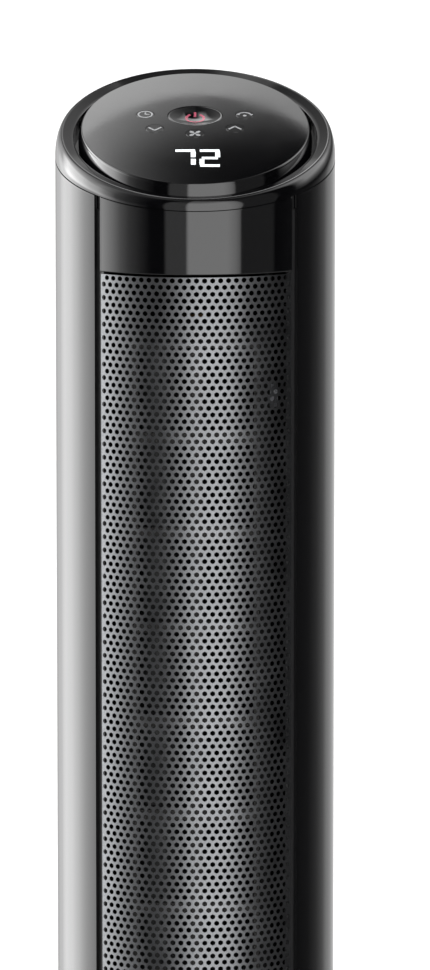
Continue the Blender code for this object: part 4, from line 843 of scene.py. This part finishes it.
def dress_readout():
    """Seven-segment figures under the disc's front half."""
    half = DIGIT_WIDTH / 2 - DIGIT_STROKE / 2
    reach = DIGIT_HEIGHT / 2 - DIGIT_STROKE / 2
    trim = DIGIT_STROKE * 0.40
    strokes = {
        "top": ((-half - trim, reach), (half + trim, reach)),
        "middle": ((-half, 0), (half, 0)),
        "bottom": ((-half - trim, -reach), (half + trim, -reach)),
        "upper_left": ((-half, trim), (-half, reach - trim)),
        "upper_right": ((half, trim), (half, reach - trim)),
        "lower_left": ((-half, -trim), (-half, trim - reach)),
        "lower_right": ((half, -trim), (half, trim - reach)),
    }
    lit = {"tens": ("top", "upper_right", "lower_right"),
           "units": ("top", "upper_right", "middle", "lower_left", "bottom")}
    for digit, names in lit.items():
        bm = bmesh.new()
        for name in names:
            bar(bm, *strokes[name], DIGIT_STROKE)
        for vert in bm.verts:
            vert.co.x += DIGIT_PLACES[digit]
            vert.co.y += DIGIT_CENTRE
            vert.co.z += dome_height(vert.co.x, vert.co.y)
        piece(f"readout_{digit}", bm, READOUT, "tower", place=TILTED)


# Foot

def cover_slope(inset):
    """Rounded edge and slope of the foot's cover, or its inside a wall further in."""
    skirt_top = PLATE_BOTTOM + COVER_SKIRT
    edge = COVER_EDGE - inset
    points = [(BASE_RADIUS - COVER_EDGE + edge * math.cos(turn), skirt_top + edge * math.sin(turn))
              for turn in [COVER_EDGE_ANGLE * step / 12 for step in range(13)]]
    out, down = CROWN_BEVEL
    return points + [(CROWN_RADIUS + out, BASE_HEIGHT - inset - down),
                     (CROWN_RADIUS, BASE_HEIGHT - inset)]


def foot_places():
    """Plan places of the rubber pads."""
    return [polar(FOOT_CIRCLE, math.radians(45) + ALL_ROUND * number / FOOT_COUNT)
            for number in range(FOOT_COUNT)]


def plate_screw_places():
    """Plan places of the plate's screws."""
    return [polar(BASE_SCREW_CIRCLE, ALL_ROUND * number / PLATE_SCREWS) for number in range(PLATE_SCREWS)]


def dress_foot():
    """Round foot: softened gloss cover, rubber pads and the screws of its plate."""
    outline = [(BASE_RADIUS - COVER_LIP, PLATE_BOTTOM), (BASE_RADIUS, PLATE_BOTTOM + COVER_LIP)]
    outline += cover_slope(0)
    outline += [(HUB_HOLE, BASE_HEIGHT), (HUB_HOLE, BASE_HEIGHT - COVER_WALL)]
    outline += cover_slope(COVER_WALL)[::-1]
    outline += [(BASE_RADIUS - COVER_WALL, PLATE_BOTTOM)]
    piece("foot_cover", turned(outline), GLOSS, "base", ["base_cover"])

    floor, mouth, depth = FOOT_DIMPLE
    edge = FOOT_RADIUS - FOOT_SOFT_EDGE
    pad = [(0, depth), (floor, depth), (mouth, 0), (edge, 0)]
    pad += arc((edge, FOOT_SOFT_EDGE), FOOT_SOFT_EDGE, -90, 0, 4)[1:]
    pad += [(FOOT_RADIUS - FOOT_SOFT_EDGE / 2, FOOT_HEIGHT), (FOOT_STEM, FOOT_HEIGHT),
            (FOOT_STEM, PLATE_TOP), (0, PLATE_TOP)]
    for number, (x, y) in enumerate(foot_places(), 1):
        piece(f"rubber_pad_{number}", turned(pad, SMALL_STEPS, closed=False), RUBBER, "base",
              [f"rubber_foot_{number}"], Matrix.Translation((x, y, 0)))
    for number, (x, y) in enumerate(plate_screw_places(), 1):
        cross_screw(f"plate_screw_{number}", "base", f"base_screw_{number}",
                    Matrix.Translation((x, y, PLATE_BOTTOM - GAP)))


def dress_base_plate():
    """Smooth round plate under the foot, with holes for the screws and the pads' stems."""
    low, high = PLATE_BOTTOM - OVERRUN / 2, PLATE_TOP + OVERRUN / 2
    rim = BASE_RADIUS - COVER_WALL - GAP
    bm = turned([(0, PLATE_BOTTOM), (rim, PLATE_BOTTOM), (rim, PLATE_TOP), (0, PLATE_TOP)], closed=False)
    holes = bmesh.new()
    for x, y in plate_screw_places():
        rod(holes, SCREW_RADIUS + GAP, low, high, x, y)
    for x, y in foot_places():
        rod(holes, FOOT_STEM + GAP, low, high, x, y)
    piece("foot_plate", carved(bm, holes), ZINC, "base", ["base_plate"])


def cross_screw(name, body, node, place):
    """Pan-head screw with a cross recess; its head hangs under the local origin."""
    head, rim = SCREW_HEAD_HEIGHT, SCREW_RIM_SHARE
    tip, taper = SCREW_TIP
    outline = [(0, -head)]
    outline += [(SCREW_HEAD_RADIUS * math.sin(turn), -head * (rim + (1 - rim) * math.cos(turn)))
                for turn in [math.pi / 2 * step / 6 for step in range(1, 7)]]
    outline += [(SCREW_HEAD_RADIUS, 0), (SCREW_RADIUS, 0), (SCREW_RADIUS, SCREW_LENGTH - taper),
                (tip, SCREW_LENGTH), (0, SCREW_LENGTH)]
    bm = turned(outline, 32, closed=False)
    # The cross's two slots overlap, so they are cut one after the other.
    low, high = CROSS_KNIFE
    for across, along in ((CROSS_REACH, CROSS_HALF_WIDTH), (CROSS_HALF_WIDTH, CROSS_REACH)):
        slot = bmesh.new()
        box(slot, (-across, -along, low), (across, along, high))
        bm = carved(bm, slot)
    piece(name, bm, NICKEL, body, [node], place)


# Rear

def dress_rear():
    """Louvred intake with its foam, the cord's grommet and the shell's screws."""
    bm = bmesh.new()
    half_angle = math.asin((INTAKE_HALF_WIDTH - GAP) / BODY_RADIUS)
    half_height = (INTAKE_TOP - INTAKE_BOTTOM) / 2 - GAP
    bmesh.ops.create_grid(bm, x_segments=LOUVRE_COLUMNS, y_segments=LOUVRE_ROWS, size=1)
    bmesh.ops.scale(bm, vec=(BODY_RADIUS * half_angle, half_height, 1), verts=bm.verts)
    slots = list(bm.faces)
    bmesh.ops.inset_individual(bm, faces=slots, thickness=LOUVRE_WEB)
    corners = [vert for face in slots for vert in face.verts]
    bmesh.ops.bevel(bm, geom=corners, offset=LOUVRE_WEB, offset_type="OFFSET", segments=3, profile=0.5,
                    affect="VERTICES", material=-1, clamp_overlap=True)
    cell = half_height / LOUVRE_ROWS
    # The webs and corners are smaller, or have fewer sides than a slot with its rounded corners
    opened = [face for face in bm.faces if face.calc_area() > cell * cell * 2.4 and len(face.verts) > 8]
    bmesh.ops.delete(bm, geom=opened, context="FACES_ONLY")
    uncurved = [edge for edge in bm.edges if edge.calc_length() > LOUVRE_EDGE]
    bmesh.ops.subdivide_edges(bm, edges=uncurved, cuts=3)
    middle = (INTAKE_TOP + INTAKE_BOTTOM) / 2
    for vert in bm.verts:
        x, y = polar(BODY_RADIUS, math.pi + vert.co.x / BODY_RADIUS)
        vert.co = (x, y, middle + vert.co.y)
    louvre = piece("intake_louvre", bm, SATIN, "intake", ["intake_cover"], weighted=False)
    thick = louvre.modifiers.new("thickness", "SOLIDIFY")
    thick.thickness = SHELL_WALL
    thick.offset = -1

    pad = bmesh.new()
    outer = SHELL_INNER - GAP
    pad_angle = math.asin((INTAKE_HALF_WIDTH - FOAM_MARGIN) / BODY_RADIUS)
    sweep(pad, wall(outer - FOAM_THICKNESS, outer, INTAKE_BOTTOM + FOAM_MARGIN, INTAKE_TOP - FOAM_MARGIN),
          math.pi - pad_angle, math.pi + pad_angle, 36)
    close_ends(pad)
    soften(pad, FOAM_SOFT_EDGE, 2)
    foam = piece("filter_foam_pad", pad, FOAM, "intake", ["filter_pad"])

    seat = BODY_RADIUS + GAP
    inner = SHELL_INNER - GROMMET_TAIL
    top = seat + GROMMET_HEIGHT
    outline = [(GROMMET_BORE, inner), (GROMMET_NECK, inner), (GROMMET_NECK, seat), (GROMMET_FLANGE, seat),
               (GROMMET_FLANGE, seat + GROMMET_BEVEL)]
    outline += arc((GROMMET_FLANGE - GROMMET_ROUND, top - GROMMET_ROUND), GROMMET_ROUND, 0, 90, 6)[1:]
    outline += [(GROMMET_BORE + GROMMET_BEVEL, top), (GROMMET_BORE, top - GROMMET_BEVEL)]
    back = Matrix.Translation((0, 0, INLET_HEIGHT)) @ Matrix.Rotation(-math.pi / 2, 4, "X")
    piece("cord_grommet", turned(outline, SMALL_STEPS), RUBBER, "tower", ["cord_inlet"], back)

    for number, place in enumerate(shell_screw_places(), 1):
        cross_screw(f"side_screw_{number}", "tower", f"shell_screw_{number}", place)


def dress_blower():
    """Cross-flow wheel: three discs that hold a ring of curved blades."""
    bm = bmesh.new()
    length = WHEEL_TOP - WHEEL_BOTTOM
    for low in (WHEEL_BOTTOM, (WHEEL_TOP + WHEEL_BOTTOM - WHEEL_DISC) / 2, WHEEL_TOP - WHEEL_DISC):
        merge(bm, turned(wall(WHEEL_BORE, WHEEL_RADIUS, low, low + WHEEL_DISC), 2 * SMALL_STEPS))
    for number in range(WHEEL_BLADES):
        blade = bmesh.new()
        section = wall(BLADE_CURVE - BLADE_HALF_THICKNESS, BLADE_CURVE + BLADE_HALF_THICKNESS, BLADE_END,
                       length - BLADE_END)
        sweep(blade, section, -BLADE_HALF_ARC, BLADE_HALF_ARC, 6)
        close_ends(blade)
        turn = Matrix.Rotation(ALL_ROUND * number / WHEEL_BLADES, 4, "Z")
        lean = Matrix.Rotation(BLADE_LEAN, 4, "Z") @ Matrix.Translation((0, BLADE_SHIFT, WHEEL_BOTTOM))
        merge(bm, blade, turn @ Matrix.Translation((0, BLADE_INSET - WHEEL_RADIUS, 0)) @ lean)
    piece("cross_flow_wheel", bm, SATIN, "blower", ["blower_wheel"],
          Matrix.Translation((0, WHEEL_AXIS_Y, 0)), weighted=False)


# Solids that keep their shape

CARRIED = (
    (ZINC, ("ballast_ring", "oscillation_motor", "hub_nut", "motor_stator", "motor_bracket", "scroll_wall",
            "scroll_tongue")),
    (NYLON, ("swivel_race", "drive_pinion", "hub_gear", "temperature_sensor")),
    (SATIN, ("tower_floor", "control_base")),
    (BOARD, ("control_board", "power_board")),
    (RESIN, ("display_module", "thermal_cutout")),
    (NICKEL, ("control_screw_1", "control_screw_2", "rotor_shaft", "motor_rotor")),
    (RUBBER, ("wire_harness",)),
    (HEAT_RESIN_SHADED, ("lower_deck", "upper_deck", "heater_frame")),
    (BRONZE, ("upper_bush",)),
    (COPPER, ("motor_coil",)),
    (FINS, ("heater_core",)),
)


def dress_carried():
    """Real finishes for the solids that show as they are."""
    for material, names in CARRIED:
        for name in names:
            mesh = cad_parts[name].data
            mesh.materials.clear()
            mesh.materials.append(material)


# Studio

CAMERA_LENS = 231.5
CAMERA_PLACE = (-0.0330, -3.95, 1.064)
CAMERA_AIM = (0.0115, -0.0891, 0.5147)
CAMERA_TURN = 0.0115  # sine of the 0.66 degrees by which it looks to the right

# The patch of sky that the slanted disc shows
SCREEN_LEVELS = (3.0, 1.75)  # at its left and its right
CEILING_LEVEL = 1.8
CEILING_LIMIT = 1.1  # where the ceiling stops growing brighter
CEILING_FADE = (-52.0, -16.0)  # rate of its fading to the right: added by height, and at its foot
CEILING_HEIGHTS = (0.7256, 0.7856)
CEILING_EDGE = (0.7205, 0.7225)
PATCH_HALF_WIDTH = 0.05
CEILING_BOW = -12.0  # bends that edge
PATCH_SIDES = (0.008, 0.02)  # squares of the way aside between which it fades out
PATCH_FRONT = (0.30, 0.45)
PATCH_FOOT = (0.56, 0.61)
GROUND_LEVEL = 0.8
GROUND_EDGE = (-0.50, -0.36)
FLOOR_TONES = (0.72, 0.42)  # for the light that it throws back, and as the camera sees it
FLOOR_GLOW = 0.62  # added for the camera, so that it shows white

# Lights round the heater: brightness by azimuth from the front, times brightness by elevation, in degrees
LIGHTS = {
    "front_window": ([(-26, 0), (-24.5, 0.65), (-8, 0.65), (-6.5, 3.6), (26, 3.6), (33, 2.7), (36.5, 1.8),
                      (38, 0.2), (66, 0.2), (69, 0)],
                     [(-90, 1), (58, 1), (72, 0.5), (85, 0.3)]),
    "left_wall": ([(-180, 0.8), (-165, 0.8), (-149, 2.0), (-138, 4.1), (-125, 5.7), (-114, 5.6),
                   (-104, 4.4), (-92, 3.4), (-83, 4.6), (-73, 2.9), (-65, 1.4), (-57, 0.65), (-46, 0.22),
                   (-38, 0.0)],
                  [(-90, 1), (2, 1), (12, 0.6), (40, 0.6), (55, 0.35), (75, 0.1)]),
    "left_softbox": ([(-134, 0), (-122, 6.0), (-102, 7.0), (-88, 4.5), (-76, 1.5), (-66, 0)],
                     [(-2, 0), (3, 1), (26, 1), (35, 0.4), (50, 0.2), (65, 0)]),
    "right_softbox": ([(84, 0), (98, 3.2), (124, 3.2), (136, 1.4), (150, 0.6), (180, 0.4)],
                      [(6, 0), (16, 0.3), (28, 1), (54, 1), (70, 0.4), (85, 0.1)]),
    "rear_wall": ([(69, 0), (88, 0.04), (107, 0.08), (119, 0.22), (132, 0.5), (139, 0.85), (180, 0.95)],
                  [(-90, 1), (0, 1), (7, 0.1), (90, 0.1)]),
}


TIMES = {"operation": "MULTIPLY"}
TIMES_PLUS = {"operation": "MULTIPLY_ADD"}


def light(tree, azimuth, elevation, across, upward):
    """One light of the studio: a strip of levels round the horizon times one up the sky."""
    peak = max(value for _, value in across)
    strips = []
    for turn, span, stops, top in ((azimuth, 180, across, peak), (elevation, 90, upward, 1)):
        strip = add(tree, "ValToRGB", s0=turn)
        points = strip.color_ramp.elements
        while len(points) < len(stops):
            points.new(1)
        for point, (degrees, value) in zip(points, stops):
            grey = value / top
            point.position = (degrees + span) / (2 * span)
            point.color = (grey, grey, grey, 1)
        strips.append(strip.outputs["Color"])
    level = add(tree, "Math", TIMES, s0=strips[0], s1=strips[1]).outputs[0]
    return add(tree, "Math", TIMES, s0=level, s1=peak).outputs[0]


def paint_world():
    """Soft lights round the heater as its gloss shows them, before a white backdrop."""
    world = bpy.data.worlds.new("studio")
    bpy.context.scene.world = world
    world.use_nodes = True
    tree = world.node_tree
    tree.nodes.clear()
    axes = add(tree, "SeparateXYZ", Vector=add(tree, "TexCoord").outputs["Generated"])
    x, y, z = axes.outputs
    back = add(tree, "Math", TIMES, s0=y, s1=-1.0).outputs[0]
    turn = add(tree, "Math", {"operation": "ARCTAN2"}, s0=x, s1=back).outputs[0]
    azimuth = add(tree, "MapRange", s0=turn, s1=-math.pi, s2=math.pi).outputs[0]
    rise = add(tree, "Math", {"operation": "ARCSINE"}, s0=z).outputs[0]
    elevation = add(tree, "MapRange", s0=rise, s1=-math.pi / 2, s2=math.pi / 2).outputs[0]
    around = None
    for across, upward in LIGHTS.values():
        lit = light(tree, azimuth, elevation, across, upward)
        around = lit if around is None else add(tree, "Math", s0=around, s1=lit).outputs[0]
    # Behind and above, what the slanted disc shows: a bright screen, and over it a ceiling whose light
    # dies away to the right, the faster the higher it is
    aside = add(tree, "Math", s0=x, s1=-CAMERA_TURN).outputs[0]
    side = add(tree, "MapRange", s0=aside, s1=-PATCH_HALF_WIDTH, s2=PATCH_HALF_WIDTH).outputs[0]
    screen = add(tree, "Mix", s0=side, A=SCREEN_LEVELS[0], B=SCREEN_LEVELS[1]).outputs[0]
    height = add(tree, "MapRange", s0=z, s1=CEILING_HEIGHTS[0], s2=CEILING_HEIGHTS[1]).outputs[0]
    squared = add(tree, "Math", TIMES, s0=height, s1=height).outputs[0]
    decay = add(tree, "Math", TIMES_PLUS, s0=squared, s1=CEILING_FADE[0], s2=CEILING_FADE[1]).outputs[0]
    across = add(tree, "Math", s0=aside, s1=PATCH_HALF_WIDTH).outputs[0]
    power = add(tree, "Math", TIMES, s0=decay, s1=across).outputs[0]
    fading = add(tree, "Math", {"operation": "EXPONENT"}, s0=power).outputs[0]
    limited = add(tree, "Math", {"operation": "MINIMUM"}, s0=fading, s1=CEILING_LIMIT).outputs[0]
    ceiling = add(tree, "Math", TIMES, s0=limited, s1=CEILING_LEVEL).outputs[0]
    bowed = add(tree, "Math", TIMES, s0=aside, s1=aside).outputs[0]
    bow = add(tree, "Math", TIMES_PLUS, s0=bowed, s1=CEILING_BOW, s2=z).outputs[0]
    above = add(tree, "MapRange", s0=bow, s1=CEILING_EDGE[0], s2=CEILING_EDGE[1]).outputs[0]
    overhead = add(tree, "Mix", s0=above, A=screen, B=ceiling).outputs[0]
    # The patch fades out at its sides, towards the front and at its foot
    outer = add(tree, "MapRange", s0=bowed, s1=PATCH_SIDES[0], s2=PATCH_SIDES[1]).outputs[0]
    behind = add(tree, "MapRange", s0=y, s1=PATCH_FRONT[0], s2=PATCH_FRONT[1]).outputs[0]
    risen = add(tree, "MapRange", s0=z, s1=PATCH_FOOT[0], s2=PATCH_FOOT[1]).outputs[0]
    patch = add(tree, "Math", TIMES, s0=behind, s1=risen).outputs[0]
    inside = add(tree, "Mix", s0=outer, A=patch, B=0.0).outputs[0]
    sky = add(tree, "Mix", s0=inside, A=around, B=overhead).outputs[0]
    skyward = add(tree, "MapRange", s0=z, s1=GROUND_EDGE[0], s2=GROUND_EDGE[1]).outputs[0]
    seen = add(tree, "Mix", s0=skyward, A=GROUND_LEVEL, B=sky).outputs[0]
    camera = add(tree, "LightPath").outputs["Is Camera Ray"]
    strength = add(tree, "Mix", s0=camera, A=seen, B=1.0).outputs[0]
    shader = add(tree, "Background", Color=(1, 1, 1, 1), Strength=strength)
    add(tree, "OutputWorld", Surface=shader.outputs[0])


def lay_floor():
    """White floor that keeps the heater's shadow."""
    bm = bmesh.new()
    bmesh.ops.create_grid(bm, x_segments=1, y_segments=1, size=30)
    mesh = bpy.data.meshes.new("studio_floor")
    bm.to_mesh(mesh)
    bm.free()
    made, tree, shader, _ = blank("white_floor", Roughness=0.9, Specular_IOR_Level=0.1,
                                  Emission_Color=(1, 1, 1, 1))
    camera = add(tree, "LightPath").outputs["Is Camera Ray"]
    bounced, seen = [(grey, grey, grey, 1) for grey in FLOOR_TONES]
    tone = add(tree, "MixRGB", s0=camera, s1=bounced, s2=seen)
    glow = add(tree, "Math", TIMES, s0=camera, s1=FLOOR_GLOW)
    connect(tree, shader, Base_Color=tone.outputs["Color"], Emission_Strength=glow.outputs[0])
    mesh.materials.append(made)
    floor = bpy.data.objects.new("studio_floor", mesh)
    bpy.context.scene.collection.objects.link(floor)
    floor.visible_glossy = False


def place_camera():
    """Camera at the photograph's height and distance."""
    data = bpy.data.cameras.new("camera")
    data.lens = CAMERA_LENS
    data.sensor_width = 36
    data.clip_end = 100
    camera = bpy.data.objects.new("camera", data)
    bpy.context.scene.collection.objects.link(camera)
    camera.location = CAMERA_PLACE
    camera.rotation_euler = (Vector(CAMERA_AIM) - camera.location).to_track_quat("-Z", "Y").to_euler()
    bpy.context.scene.camera = camera


def main():
    """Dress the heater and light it."""
    place_camera()
    paint_world()
    lay_floor()
    dress_carried()
    dress_shell()
    dress_bands()
    dress_rails()
    dress_grille()
    dress_ring()
    dress_disc()
    dress_power_button()
    dress_keys()
    dress_readout()
    dress_foot()
    dress_base_plate()
    dress_rear()
    dress_blower()
    bpy.context.scene.view_settings.view_transform = "Standard"


main()
